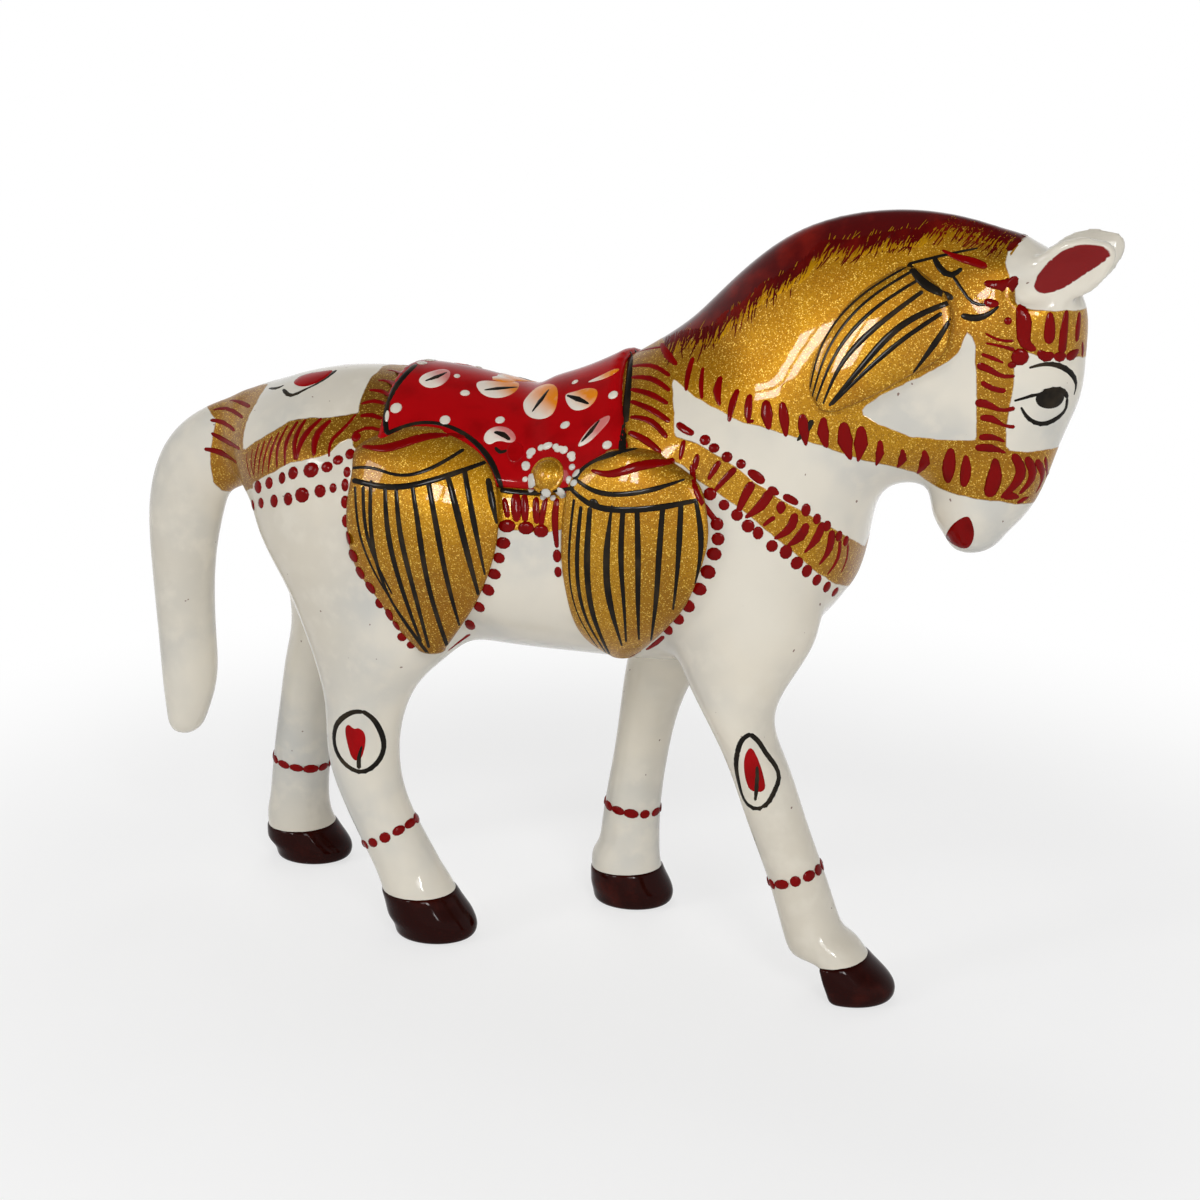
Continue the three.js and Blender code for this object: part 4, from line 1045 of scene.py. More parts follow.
def horse_finish():
    """White enamel with gold, maroon and red laid on where the skin's attributes say."""
    finish = Finish("horse_enamel")
    wobble = finish.sums("SUBTRACT", finish.noise(*EDGE_NOISE), EDGE_MIDDLE)
    edge = finish.sums("MULTIPLY", wobble, EDGE_SWING)
    gold_share = finish.steps(finish.sums("ADD", finish.attribute("gold_edge"), edge), *GOLD_FADE)
    mane_share = finish.steps(finish.sums("ADD", finish.attribute("mane_edge"), edge), *MANE_FADE)
    ear_share = finish.steps(finish.attribute("ear_edge"), *EAR_FADE)
    gold, flake = gold_coat(finish)
    maroon = finish.blend(finish.layer(*MAROON_TONE), MAROON, MAROON_LIT)
    colour = finish.blend(gold_share, white_coat(finish), gold)
    colour = finish.blend(mane_share, colour, maroon)
    colour = finish.blend(ear_share, colour, RED)
    only_gold = finish.sums("MULTIPLY", gold_share, finish.sums("SUBTRACT", 1, mane_share))
    grain = finish.sums("MULTIPLY", flake, only_gold)
    normal = finish.raised(grain, *FLAKE_GRAIN, finish.ripple(*ENAMEL_RIPPLE))
    normal = finish.raised(gold_share, *GOLD_STEP, normal)
    metallic = finish.sums("MULTIPLY", only_gold, GOLD_METAL)
    roughness = finish.level(only_gold, ENAMEL_ROUGHNESS, GOLD_ROUGHNESS)
    return finish.paint(colour, roughness, normal, metallic)


def gold_finish():
    finish = Finish("gold_paint")
    colour, flake = gold_coat(finish)
    normal = finish.raised(flake, *FLAKE_GRAIN, finish.ripple(*ENAMEL_RIPPLE))
    return finish.paint(colour, GOLD_ROUGHNESS, normal, GOLD_METAL)


def brushed_finish(name, colour, worn, share=0.6, roughness=0.13, metallic=0.0, coat=LEAN_COAT):
    """A brushed-on colour that is thinner in places."""
    finish = Finish(name)
    colour = finish.blend(finish.layer(*THIN_PAINT, share), colour, worn)
    return finish.paint(colour, roughness, finish.ripple(*BRUSH_RIPPLE), metallic, coat, LEAN_GLOSS)


def petal_finish(roughness=0.25):
    """White petals shaded to pink or orange by the tint that each petal carries."""
    finish = Finish("petal_paint")
    colour = finish.blend(finish.attribute("orange"), PETAL, PETAL_ORANGE)
    colour = finish.blend(finish.attribute("pink"), colour, PETAL_PINK)
    colour = finish.blend(finish.layer(*PETAL_CLOUDS), colour, PETAL)
    return finish.paint(colour, roughness, finish.ripple(*BRUSH_RIPPLE))


def hoof_finish(roughness=0.12):
    """Dark enamel with painted olive glints, laid at random places, and a few chips."""
    finish = Finish("hoof_paint")
    colour = finish.blend(finish.layer(*HOOF_TONE), HOOF, HOOF_LIT)
    # painted olive reflection, at random places on the hooves
    colour = finish.blend(finish.layer(*HOOF_GLINT_PATCHES), colour, HOOF_OLIVE_GLINT)
    colour = finish.blend(finish.layer(*HOOF_CHIPS), colour, HOOF_CHIP)
    normal = finish.ripple(*HOOF_RIPPLE)
    return finish.paint(colour, roughness, normal, coat=LEAN_COAT, gloss=LEAN_GLOSS)


def bead_finish(roughness=0.16):
    finish = Finish("white_bead_paint")
    return finish.paint(white_coat(finish), roughness, finish.ripple(*BRUSH_RIPPLE))


def floor_finish():
    """A pale floor that keeps the shadow near the horse and fades to white further off."""
    finish = Finish("pale_floor")
    tone = finish.layer(*FLOOR_TONE)
    colour = finish.blend(tone, FLOOR, FLOOR_DIM)
    finish.paint(colour, FLOOR_ROUGHNESS, finish.raised(tone, *FLOOR_GRAIN), coat=0.0)
    away = finish.add("ShaderNodeVectorMath", {0: finish.place}, operation="LENGTH").outputs["Value"]
    share = finish.sums("MULTIPLY", finish.steps(away, *FLOOR_WHITE), finish.background())
    glow = finish.add("ShaderNodeEmission", {"Color": GLOW, "Strength": 1.0}).outputs[0]
    inputs = {0: share, 1: finish.shader.outputs[0], 2: glow}
    mixed = finish.add("ShaderNodeMixShader", inputs).outputs[0]
    finish.feed(finish.tree.nodes["Material Output"].inputs["Surface"], mixed)
    return finish.material


horse_enamel = horse_finish()
bead_paint = bead_finish()
gold_paint = gold_finish()
red_paint = brushed_finish("red_paint", RED, RED_DEEP)
bright_red_paint = brushed_finish("bright_red_paint", RED_BRIGHT, RED, share=0.7)
saddle_paint = brushed_finish("saddle_paint", SADDLE_RED, RED_DEEP, share=0.4, roughness=0.12)
black_paint = brushed_finish("black_paint", BLACK, BLACK_WORN, share=0.8)
maroon_paint = brushed_finish("maroon_paint", MAROON, MAROON_LIT, share=0.8, roughness=0.12, coat=0.1)
hair_gold_paint = brushed_finish(
    "hair_gold_paint", GOLD_LIGHT, GOLD, share=0.9, roughness=0.3, metallic=GOLD_METAL, coat=0.0
)
petal_paint = petal_finish()
hoof_paint = hoof_finish()


# The horse's skin

SKIN_SOLE = 0.5  # the skin ends above the ground, inside the hoof's paint
HOOF_COAT = 0.1
# Where each hoof's paint ends: lift above the casting's coronet, and slope about a place behind its middle
COAT_EDGES = {"front_right": (0, 7), "front_left": (0.2, 1), "rear_right": (1, -1), "rear_left": (0.1, 1)}
COAT_TURN = 1.2
STEPPING_LEG = "front_right"
HEEL_HEIGHT, HEEL_BACK, HEEL_SLOPE = 3.7, 2.3, 0.3
SCOOP_WIDTH, SCOOP_INSET = 0.74, 1.15  # the scooped inside of an ear
SADDLE_SINK = 0.5  # how deep the saddle reaches into the skin
# Corners of the space that holds the horse, and of one that holds a hoof
HORSE_SPACE = (-54, -18, -3), (54, 18, 80)
HOOF_SPACE = (-8, -6, -1), (8, 6, 9)
# Domes that close both ends of a loft, as shares of its half width there
TRUNK_DOMES, NECK_DOMES, HEAD_DOMES = (0.36, 0.19), (0.09, 0.26), (0.27, 0.42)
TAIL_DOMES, LEG_DOMES, RELIEF_DOMES = (0.3, 0.86), (0.22, 0), (0.45, 0.45)
# How far the castings melt into each other, and how far edges are rounded
NECK_MELT, HEAD_MELT, LEG_MELT, TAIL_MELT, EAR_MELT, HOOF_MELT = 3, 2.2, 2, 1.6, 1, 1.8
HEEL_ROUND, SCOOP_ROUND, COAT_ROUND, SOLE_ROUND, SADDLE_ROUND = 0.7, 0.6, 0.35, 0.5, 0.9
# Passes that soften a field or smooth a surface
BODY_SOFTENING, EAR_SOFTENING, HOOF_SOFTENING = 3, 1, 2
SKIN_SMOOTHING, FINE_SMOOTHING = 5, 4
RELIEF_SIDES, RELIEF_SPAN = 72, 0.35
MEDALLION_SIDES = 40


def foot_field(block, leg):
    """A leg that flares smoothly into its hoof. The stepping foot's heel is off the ground."""
    shin, hoof = block.of(loft(leg_sections(leg), LEG_DOMES)), block.of(loft(hoof_sections(leg)))
    foot = melt(shin, hoof, HOOF_MELT)
    if leg != STEPPING_LEG:
        return foot
    x, _, z = block.axes()
    below = z - HEEL_HEIGHT
    behind = x - LEGS[leg][0] + HEEL_BACK + HEEL_SLOPE * below
    return trim(foot, -block.whole(np.maximum(below, behind)), HEEL_ROUND)


def horse_field():
    """The castings melted into one, and the scoops of its ears."""
    block = Block(*HORSE_SPACE, SKIN_VOXEL)
    trunk = block.of(loft(trunk_sections(), TRUNK_DOMES))
    neck = block.of(loft(from_rows(NECK_ROWS, NECK_START, NECK_LENGTH, NECK_WIDTH), NECK_DOMES))
    head = block.of(loft(from_rows(HEAD_ROWS, POLL, HEAD_LENGTH, HEAD_WIDTH), HEAD_DOMES))
    tail = block.of(loft(from_rows(TAIL_ROWS, TAIL_START, TAIL_LENGTH, TAIL_WIDTH), TAIL_DOMES))
    field = melt(melt(trunk, neck, NECK_MELT), head, HEAD_MELT)
    for leg in LEGS:
        field = melt(field, foot_field(block, leg), LEG_MELT)
    field = soften(melt(field, tail, TAIL_MELT), BODY_SOFTENING)
    scoops = [block.of(ear_loft(side, SCOOP_WIDTH, SCOOP_INSET)) for side in HANDS.values()]
    for side, scoop in zip(HANDS.values(), scoops):
        field = trim(melt(field, block.of(ear_loft(side)), EAR_MELT), -scoop, SCOOP_ROUND)
    sole = block.whole(SKIN_SOLE - block.axes()[2])
    return block, np.maximum(soften(field, EAR_SOFTENING), sole), np.minimum(*scoops)


def hoof_shape(leg):
    """A hoof: the foot of its leg below a sloping edge, proud by a coat of paint."""
    sole, side = LEGS[leg][:2]
    lift, slope = COAT_EDGES[leg]
    low, high = (np.array([sole, side * TRACK / 2, 0]) + corner for corner in HOOF_SPACE)
    block = Block(low, high, FINE_VOXEL)
    x, _, z = block.axes()
    lean = math.radians(slope)
    above = (z - HOOF_HEIGHT - lift) * math.cos(lean) - (x - sole + COAT_TURN) * math.sin(lean)
    field = trim(foot_field(block, leg) - HOOF_COAT, block.whole(above), COAT_ROUND)
    field = trim(field, block.whole(-z), SOLE_ROUND)
    return block.surface(soften(field, HOOF_SOFTENING), FINE_SMOOTHING)


def saddle_shape(block, field):
    """A sheet over the back, cut out in the side view."""
    x, _, z = (axis.ravel() for axis in block.axes())
    flat = np.stack(np.meshgrid(x, z, indexing="ij"), -1).reshape(-1, 2)
    edge = outline_distance(flat, SADDLE_OUTLINE).reshape(len(x), 1, len(z))
    sheet = np.maximum(field - SADDLE_THICKNESS, -(field + SADDLE_SINK))
    return block.surface(trim(sheet, block.whole(edge), SADDLE_ROUND), FINE_SMOOTHING)


def relief_shape(table, top, spread, side, bulge):
    """A bag or tassel: level ovals that follow the horse's side, from a table of drop, back and front."""
    made = []
    for drop, *edges in table:
        z = top[1] - drop * spread[1]
        back, front = (top[0] + edge * spread[0] for edge in edges)
        flank = level_hit(skin_form, (back + front) / 2, z, side)[0].y
        made.append(section((front, z), (back, z), flank + side * RELIEF_RIM, bulge - RELIEF_RIM))
    return closed(loft(made, RELIEF_DOMES, RELIEF_SIDES, RELIEF_SPAN))


def bag_shape(end, side):
    middle, table = BAGS[end]
    return relief_shape(table, (middle, BACK_HEIGHT), (BAG_WIDTH, BARREL_DEPTH), side, BAG_BULGE)


def tassel_shape(side):
    return relief_shape(TASSEL_ROWS, TASSEL_TIE, (TASSEL_LENGTH, TASSEL_LENGTH), side, TASSEL_BULGE)


def medallion_shape(saddle, side):
    """A turned boss with a narrow rim, which sits square on the saddle flap."""
    spot, facing = level_hit(form_of([saddle]), *MEDALLION_PLACE, side)
    along = facing.cross(Vector((1, 0, 0))).normalized()
    across = along.cross(facing)
    turns = np.linspace(0, 2 * math.pi, MEDALLION_SIDES, endpoint=False)[:, None]
    ring = np.cos(turns) * np.array(across) + np.sin(turns) * np.array(along)
    rings = [
        np.array(spot) + out * MEDALLION_RADIUS * ring + rise * MEDALLION_HEIGHT * np.array(facing)
        for out, rise in MEDALLION_ROWS
    ]
    return closed(ring_faces(np.array(rings)))


skin_block, skin_field, ear_scoop = horse_field()
skin_shape = skin_block.surface(skin_field, SKIN_SMOOTHING)
skin_points = skin_shape[0]
skin_form = form_of([skin_shape])
SKIN_NODES = ["tail"] + [
    f"{kind}_{hand}" for kind in ("body_shell", "foreleg", "hindleg", "ear") for hand in HANDS
]
castings = []  # what the paint lies on


def cast_piece(name, shape, material, slot, *stands_for):
    castings.append(shape)
    return piece(name, plain_mesh(name, *shape), material, stands_for)


skin = cast_piece("horse_skin", skin_shape, horse_enamel, "white_enamel", *SKIN_NODES)
for leg in LEGS:
    cast_piece(f"hoof_{leg}_coat", hoof_shape(leg), hoof_paint, "hoof_enamel", f"hoof_{leg}")
saddle = saddle_shape(skin_block, skin_field)
cast_piece("saddle_cloth", saddle, saddle_paint, "red_enamel", "saddle")
relief_start = sum(len(faces) for _, faces in castings)  # the first face of a bag or tassel
for hand, side in HANDS.items():
    shapes = [(f"saddle_bag_{end}", f"bag_{end}", bag_shape(end, side)) for end in BAGS]
    shapes.append(("tassel", "neck_tassel", tassel_shape(side)))
    shapes.append(("boss", "medallion", medallion_shape(saddle, side)))
    for name, node, shape in shapes:
        cast_piece(f"{name}_{hand}", shape, gold_paint, "gold_enamel", f"{node}_{hand}")


# Laying paint on the horse

ACROSS_LIMIT = 1.5  # how far one side's paint may reach over the middle
BRUSH_STEP, FEWEST_STEPS = 4, 7  # pixels between the points of a stroke, and its fewest points
BRUSH_JUMP, SHORTEST_RUN = 2.5, 3  # a stroke is lifted at a larger leap, and left out with fewer points
BRUSH_TIP = 0.22  # narrowest end of a stroke, as a share of its width
STROKE_SIDES, STROKE_FLATNESS = 8, 0.1
PAINT_RISE, HAIR_RISE, GOLD_HAIR_RISE = 0.15, 0.12, 0.192  # thickness, as a share of the half width
RED_SWELL, BLACK_SWELL, DOT_SWELL = 1.15, 1.08, 1.12
DOT_THICKNESS, DOT_FULLNESS = 0.13, 0.22
DROP_SEGMENTS, DROP_RINGS = 10, 6
LEAN_LIMIT = 0.5  # no dot is stretched past the double
PATCH_RINGS = [(1, -0.05), (0.93, 0.035), (0.72, 0.06), (0.4, 0.075)]  # share of the outline, lift
PATCH_CROWN, PATCH_DEPTH = 0.08, 0.2
PATCH_REACH, PATCH_TRIES, PATCH_PULL = 8, 40, 0.9  # a corner too far off is pulled in, step by step
CORNER_CUT, CORNER_PASSES = 0.25, 2
WORKING_ATTRIBUTES = ("rise", "half_width", "facing", "along", "size")

form_tree = form_of(castings)


def other_side(place, side):
    """A place or way of the right side, taken over to a side, or back from it."""
    return place * np.array([1, -side, 1])


def cast(pixel, side, first_face=0, across=ACROSS_LIMIT):
    """Where a pixel of the photograph lands, and its facing; the left side is the mirrored right."""
    eye, line = other_side(VIEW_EYE, side), other_side(sight(pixel), side)
    spot, facing, face, _ = form_tree.ray_cast(Vector(eye), Vector(line))
    if spot is None or face < first_face or spot.y * side < -across:
        return None
    return np.array(spot), np.array(facing)


def cast_level(x, z, side):
    """Where a place in the side view lands on the outer side of the horse."""
    spot, facing = level_hit(form_tree, x, z, side)
    return (np.array(spot), np.array(facing)) if spot else None


def land_on(side, first_face=0):
    return lambda pixel: cast(pixel, side, first_face)


def drawn(widths, pixels):
    """A stroke's path and its width along it, rounded at both ends."""
    pixels = np.array(pixels, float)
    knots = run_lengths(pixels)
    count = max(FEWEST_STEPS, int(knots[-1] / BRUSH_STEP))
    at = knots[-1] * (0.5 - 0.5 * np.cos(np.linspace(0, math.pi, count)))
    width = np.interp(at / knots[-1], np.linspace(0, 1, len(widths)), widths)
    from_end = np.clip(np.minimum(at, knots[-1] - at) / (0.5 * width), 0, 1)
    return spline(knots, pixels, at), width * np.maximum(np.sqrt(1 - (1 - from_end) ** 2), BRUSH_TIP)


class Lines:
    """Lines on the horse, each point with the half width of the brush."""

    def __init__(self):
        self.points, self.edges, self.halves = [], [], []

    def add(self, run):
        if len(run) < SHORTEST_RUN:
            return
        start = len(self.points)
        self.edges += [(start + i, start + i + 1) for i in range(len(run) - 1)]
        self.points += [spot for spot, _ in run]
        self.halves += [half for _, half in run]

    def draw(self, widths, pixels, land):
        """Lands each pixel of a stroke on the horse, and lifts the brush where the surface leaps."""
        run = []
        for pixel, wide in zip(*drawn(widths, pixels)):
            hit = land(pixel)
            if hit is None or (run and np.linalg.norm(hit[0] - run[-1][0]) > BRUSH_JUMP):
                self.add(run)
                run = []
            if hit is not None:
                right_side = other_side(hit[0], np.sign(hit[0][1]))
                run.append((hit[0], wide / 2 * pixel_span(right_side)))
        self.add(run)

    def mesh(self, name):
        mesh = raw_mesh(name, self.points, self.edges)
        store(mesh, "half_width", np.array(self.halves) * MM)
        return mesh


class Dots:
    """Drops of paint: where, which way they face and lie, and their half sizes."""

    def __init__(self):
        self.points, self.facing, self.along, self.size = [], [], [], []

    def add(self, hit, wide, tall, along):
        spot, facing = hit
        self.points.append(spot)
        self.facing.append(facing)
        self.along.append(along)
        self.size.append((wide, tall, max(DOT_THICKNESS, DOT_FULLNESS * min(wide, tall))))

    def set_down(self, table, land, side):
        """Lands dots of the picture, each as large on the horse as it looks."""
        across, up = other_side(VIEW_RIGHT, side), other_side(VIEW_UP, side)
        for x, y, wide, tall in table:
            hit = land((x, y))
            if hit is None:
                continue
            span = DOT_SWELL * pixel_span(other_side(hit[0], side))
            lean = [math.sqrt(1 - min((way @ hit[1]) ** 2, 1 - LEAN_LIMIT**2)) for way in (across, up)]
            self.add(hit, wide * span / lean[0], tall * span / lean[1], across)

    def mesh(self, name):
        mesh = raw_mesh(name, self.points)
        store(mesh, "facing", self.facing)
        store(mesh, "along", self.along)
        store(mesh, "size", np.array(self.size) * MM)
        return mesh


class Tree(Nodes):
    """A Geometry Nodes tree with named inputs."""

    def __init__(self, name, **inputs):
        super().__init__(bpy.data.node_groups.new(name, "GeometryNodeTree"))
        sockets = self.tree.interface
        sockets.new_socket("Geometry", in_out="INPUT", socket_type="NodeSocketGeometry")
        for label, kind in inputs.items():
            sockets.new_socket(label, in_out="INPUT", socket_type=f"NodeSocket{kind}")
        sockets.new_socket("Geometry", in_out="OUTPUT", socket_type="NodeSocketGeometry")
        self.start = self.tree.nodes.new("NodeGroupInput").outputs

    def named(self, name, kind="FLOAT"):
        node = self.add("GeometryNodeInputNamedAttribute", {"Name": name}, data_type=kind)
        return node.outputs["Attribute"]

    def form_normal(self, form):
        inputs = {"Mesh": form, "Value": self.add("GeometryNodeInputNormal").outputs["Normal"]}
        node = self.add("GeometryNodeSampleNearestSurface", inputs, data_type="FLOAT_VECTOR")
        return node.outputs["Value"]

    def finish(self, geometry):
        geometry = self.add("GeometryNodeRealizeInstances", {"Geometry": geometry}).outputs[0]
        geometry = self.add("GeometryNodeSetShadeSmooth", {"Geometry": geometry}).outputs[0]
        inputs = {"Geometry": geometry, "Material": self.start["Material"]}
        geometry = self.add("GeometryNodeSetMaterial", inputs).outputs[0]
        self.add("NodeGroupOutput", {"Geometry": geometry})
        return self.tree


def brush_tree():
    """Sweeps lines into strokes of paint that hug the form below them."""
    tree = Tree("brush_strokes", Form="Object", Rise="Float", Sides="Int", Material="Material")
    form = tree.add(
        "GeometryNodeObjectInfo", {"Object": tree.start["Form"]}, transform_space="RELATIVE"
    ).outputs["Geometry"]
    lines = tree.add("GeometryNodeMeshToCurve", {"Mesh": tree.start["Geometry"]}).outputs[0]
    inputs = {"Curve": lines, "Normal": tree.form_normal(form)}
    lines = tree.add("GeometryNodeSetCurveNormal", inputs, mode="FREE").outputs[0]
    ring = tree.add("GeometryNodeCurvePrimitiveCircle", {"Resolution": tree.start["Sides"], "Radius": 1.0})
    place = tree.add("GeometryNodeInputPosition").outputs[0]
    parts = tree.add("ShaderNodeSeparateXYZ", {0: place}).outputs
    rise = tree.sums("MULTIPLY", parts["X"], tree.start["Rise"])
    inputs = {"Geometry": ring.outputs["Curve"], "Name": "rise", "Value": rise}
    ring = tree.add("GeometryNodeStoreNamedAttribute", inputs, data_type="FLOAT", domain="POINT").outputs[0]
    inputs = {"Geometry": ring, "Scale": (STROKE_FLATNESS, 1.0, 1.0)}
    ring = tree.add("GeometryNodeTransform", inputs).outputs[0]
    inputs = {"Curve": lines, "Profile Curve": ring, "Scale": tree.named("half_width"), "Fill Caps": True}
    strokes = tree.add("GeometryNodeCurveToMesh", inputs).outputs[0]
    nearest = tree.add("GeometryNodeProximity", {"Geometry": form}, target_element="FACES")
    lift = tree.sums("MULTIPLY", tree.named("rise"), tree.named("half_width"))
    inputs = {0: tree.form_normal(form), "Scale": lift}
    lift = tree.add("ShaderNodeVectorMath", inputs, operation="SCALE").outputs[0]
    inputs = {0: nearest.outputs["Position"], 1: lift}
    laid = tree.add("ShaderNodeVectorMath", inputs, operation="ADD").outputs[0]
    strokes = tree.add("GeometryNodeSetPosition", {"Geometry": strokes, "Position": laid}).outputs[0]
    return tree.finish(strokes)


def dots_tree():
    """Sets a flattened drop of paint on each point, turned to lie on the surface."""
    tree = Tree("paint_dots", Segments="Int", Rings="Int", Material="Material")
    inputs = {"Segments": tree.start["Segments"], "Rings": tree.start["Rings"], "Radius": 1.0}
    drop = tree.add("GeometryNodeMeshUVSphere", inputs).outputs["Mesh"]
    lie = tree.add("FunctionNodeAxesToRotation", {
        "Primary Axis": tree.named("facing", "FLOAT_VECTOR"),
        "Secondary Axis": tree.named("along", "FLOAT_VECTOR"),
    }, primary_axis="Z", secondary_axis="X").outputs[0]
    inputs = {
        "Points": tree.start["Geometry"], "Instance": drop, "Rotation": lie,
        "Scale": tree.named("size", "FLOAT_VECTOR"),
    }
    return tree.finish(tree.add("GeometryNodeInstanceOnPoints", inputs).outputs[0])


def grown(name, mesh, tree, **inputs):
    """The mesh that a tree makes of another one."""
    thing = placed(name, mesh)
    modifier = thing.modifiers.new("paint", "NODES")
    modifier.node_group = tree
    for item in tree.interface.items_tree:
        if item.in_out == "INPUT" and item.name in inputs:
            modifier[item.identifier] = inputs[item.name]
    view = bpy.context.evaluated_depsgraph_get()
    made = bpy.data.meshes.new_from_object(thing.evaluated_get(view), depsgraph=view)
    bpy.data.objects.remove(thing)
    made.name = name
    for attribute in WORKING_ATTRIBUTES:
        if attribute in made.attributes:
            made.attributes.remove(made.attributes[attribute])
    return made


def rounded(outline):
    """An outline with its corners cut off."""
    outline = np.array(outline, float)
    for _ in range(CORNER_PASSES):
        step = CORNER_CUT * (np.roll(outline, -1, 0) - outline)
        outline = np.stack([outline + step, np.roll(outline, -1, 0) - step], 1).reshape(-1, 2)
    return outline


def patch(outline, land):
    """A filled shape of paint: points, faces, and the pixel of each point."""
    outline = rounded(outline)
    middle = outline.mean(0)
    hub, facing = land(middle)
    pixels, points = [], []
    for share, lift in PATCH_RINGS:
        for corner in outline:
            pixel = middle + share * (corner - middle)
            hit = land(pixel)
            for _ in range(PATCH_TRIES):
                if hit is not None and np.linalg.norm(hit[0] - hub) < PATCH_REACH:
                    break
                pixel = middle + PATCH_PULL * (pixel - middle)
                hit = land(pixel)
            pixels.append(pixel)
            points.append(hit[0] + lift * hit[1])
    points, quads, caps = ring_faces(np.reshape(points, (len(PATCH_RINGS), len(outline), 3)))
    points[-2:] = hub - PATCH_DEPTH * facing, hub + PATCH_CROWN * facing
    a, b, c = points[quads[0, :3]]
    turn = -1 if np.cross(b - a, c - a) @ facing < 0 else 1
    faces = quads[:, ::turn].tolist() + caps[:, ::turn].tolist()
    return points, faces, np.array(pixels + [middle, middle])


# Areas of colour on the skin

EAR_PIXEL = 0.1  # millimetres that a pixel spans at the ears
EAR_LIP = 0.3  # how far the red of an ear reaches out of its scoop


def pixels_alike(points):
    """Pixels of points, with those of the left side mirrored to the right one."""
    return in_picture(points * [1, 0, 1] - [0, 1, 0] * np.abs(points))


def paint_areas():
    """Keeps how far inside the gold, the mane and the ears' red each point of the skin lies."""
    pixels, span = pixels_alike(skin_points)
    gold = np.max([-outline_distance(pixels, area) for area in GOLD_AREAS.values()], 0)
    gold = np.minimum(gold, outline_distance(pixels, CHEEK_WHITE))
    mane = -outline_distance(pixels, MANE_EDGE + MANE_CREST)
    ear = -outline_distance(pixels, EAR_RED) * EAR_PIXEL
    store(skin.data, "gold_edge", gold * span)
    store(skin.data, "mane_edge", mane * span)
    store(skin.data, "ear_edge", np.minimum(ear, EAR_LIP - skin_block.sampled(ear_scoop, skin_points)))


paint_areas()


# Brush strokes, dots and petals

LEG_STEP = 0.4  # how far apart a leg's way is measured
ANKLET_BEADS, ANKLET_WIDE, ANKLET_TALL = 12, (0.55, 0.95), (0.45, 0.6)
MEDALLION_RING = (550, 472, 26)  # pixels
RING_BEADS, RING_STRAY, RING_SIZE = 13, 0.22, (2.4, 3.9)
# Hairs of the mane: where they grow along its edge, how they lean and how far each one strays
HAIR_PLACES = np.linspace(0.01, 0.99, 200)
HAIR_LEAN, HAIR_LEAN_GROWTH, HAIR_LEAN_STRAY = -0.2, -0.5, 0.25
HAIR_STRAY, HAIR_BEND, HAIR_CURL = 3, 2, 1.2
HAIR_WAIST, HAIR_TIP = 0.8, 0.8
# Hairs: the root below the edge, shortest, longest, how much the longest loses along the edge, width
DARK_HAIRS = [(-8, 10, 38, 12, 3.2), (-8, 6, 24, 0, 2.4)]
GOLD_HAIRS = [(11, 12, 28, 0, 1.5)]
# Shade of a petal: its way in the picture, how steep it is, how late it begins, and the share of pink
SHADE_WAY, SHADE_SLOPE, SHADE_LAG, PINK_SHARE = [0.8, -1], 2.4, 0.3, 0.8
SEED = 7

red, black, maroon, hair_gold, white_bead = Lines(), Lines(), Lines(), Lines(), Lines()
red_dots, white_dots = Dots(), Dots()
patches = {"red": [], "bright": [], "black": [], "petal": []}
chance = random.Random(SEED)


def leg_centre(leg, height):
    """Middle of a leg at a height, and the way the leg runs there."""
    rows = np.array(leg_sections(leg))[::-1, :3]
    low, middle, high = spline(rows[:, 2], rows, np.array([height - LEG_STEP, height, height + LEG_STEP]))
    return middle, (high - low) / np.linalg.norm(high - low)


def other_leg(leg, pair):
    """Lands a pixel of a right leg at the same place of the left leg's outer side."""
    def land(pixel):
        hit = cast(pixel, HANDS["right"])
        if hit is None:
            return None
        x, _, z = hit[0]
        ahead = x - leg_centre(leg, z)[0][0]
        return cast_level(leg_centre(pair, z)[0][0] + ahead, z, HANDS["left"])
    return land


def anklet(leg, pixel):
    """A ring of red dots square to the leg."""
    height = cast(pixel, HANDS["right"], across=BARREL_WIDTH)[0][2]
    middle, up = leg_centre(leg, height)
    first = np.cross(up, [0, 1, 0])
    first /= np.linalg.norm(first)
    second = np.cross(up, first)
    for bead in range(ANKLET_BEADS):
        turn = 2 * math.pi * (bead + 0.5) / ANKLET_BEADS
        out = math.cos(turn) * first + math.sin(turn) * second
        spot, facing, _, _ = skin_form.ray_cast(Vector(middle), Vector(out))
        facing = np.array(facing)
        facing *= np.sign(facing @ out)
        wide, tall = chance.uniform(*ANKLET_WIDE), chance.uniform(*ANKLET_TALL)
        red_dots.add((np.array(spot), facing), wide, tall, np.cross(up, out))


def medallion_ring():
    """White dots round the boss of the saddle, unevenly set by hand."""
    x, y, out = MEDALLION_RING
    ring = []
    for bead in range(RING_BEADS):
        turn = 2 * math.pi * (bead + chance.uniform(-RING_STRAY, RING_STRAY)) / RING_BEADS
        size = chance.uniform(*RING_SIZE)
        ring.append((x + out * math.cos(turn), y + out * math.sin(turn), size, size))
    return ring


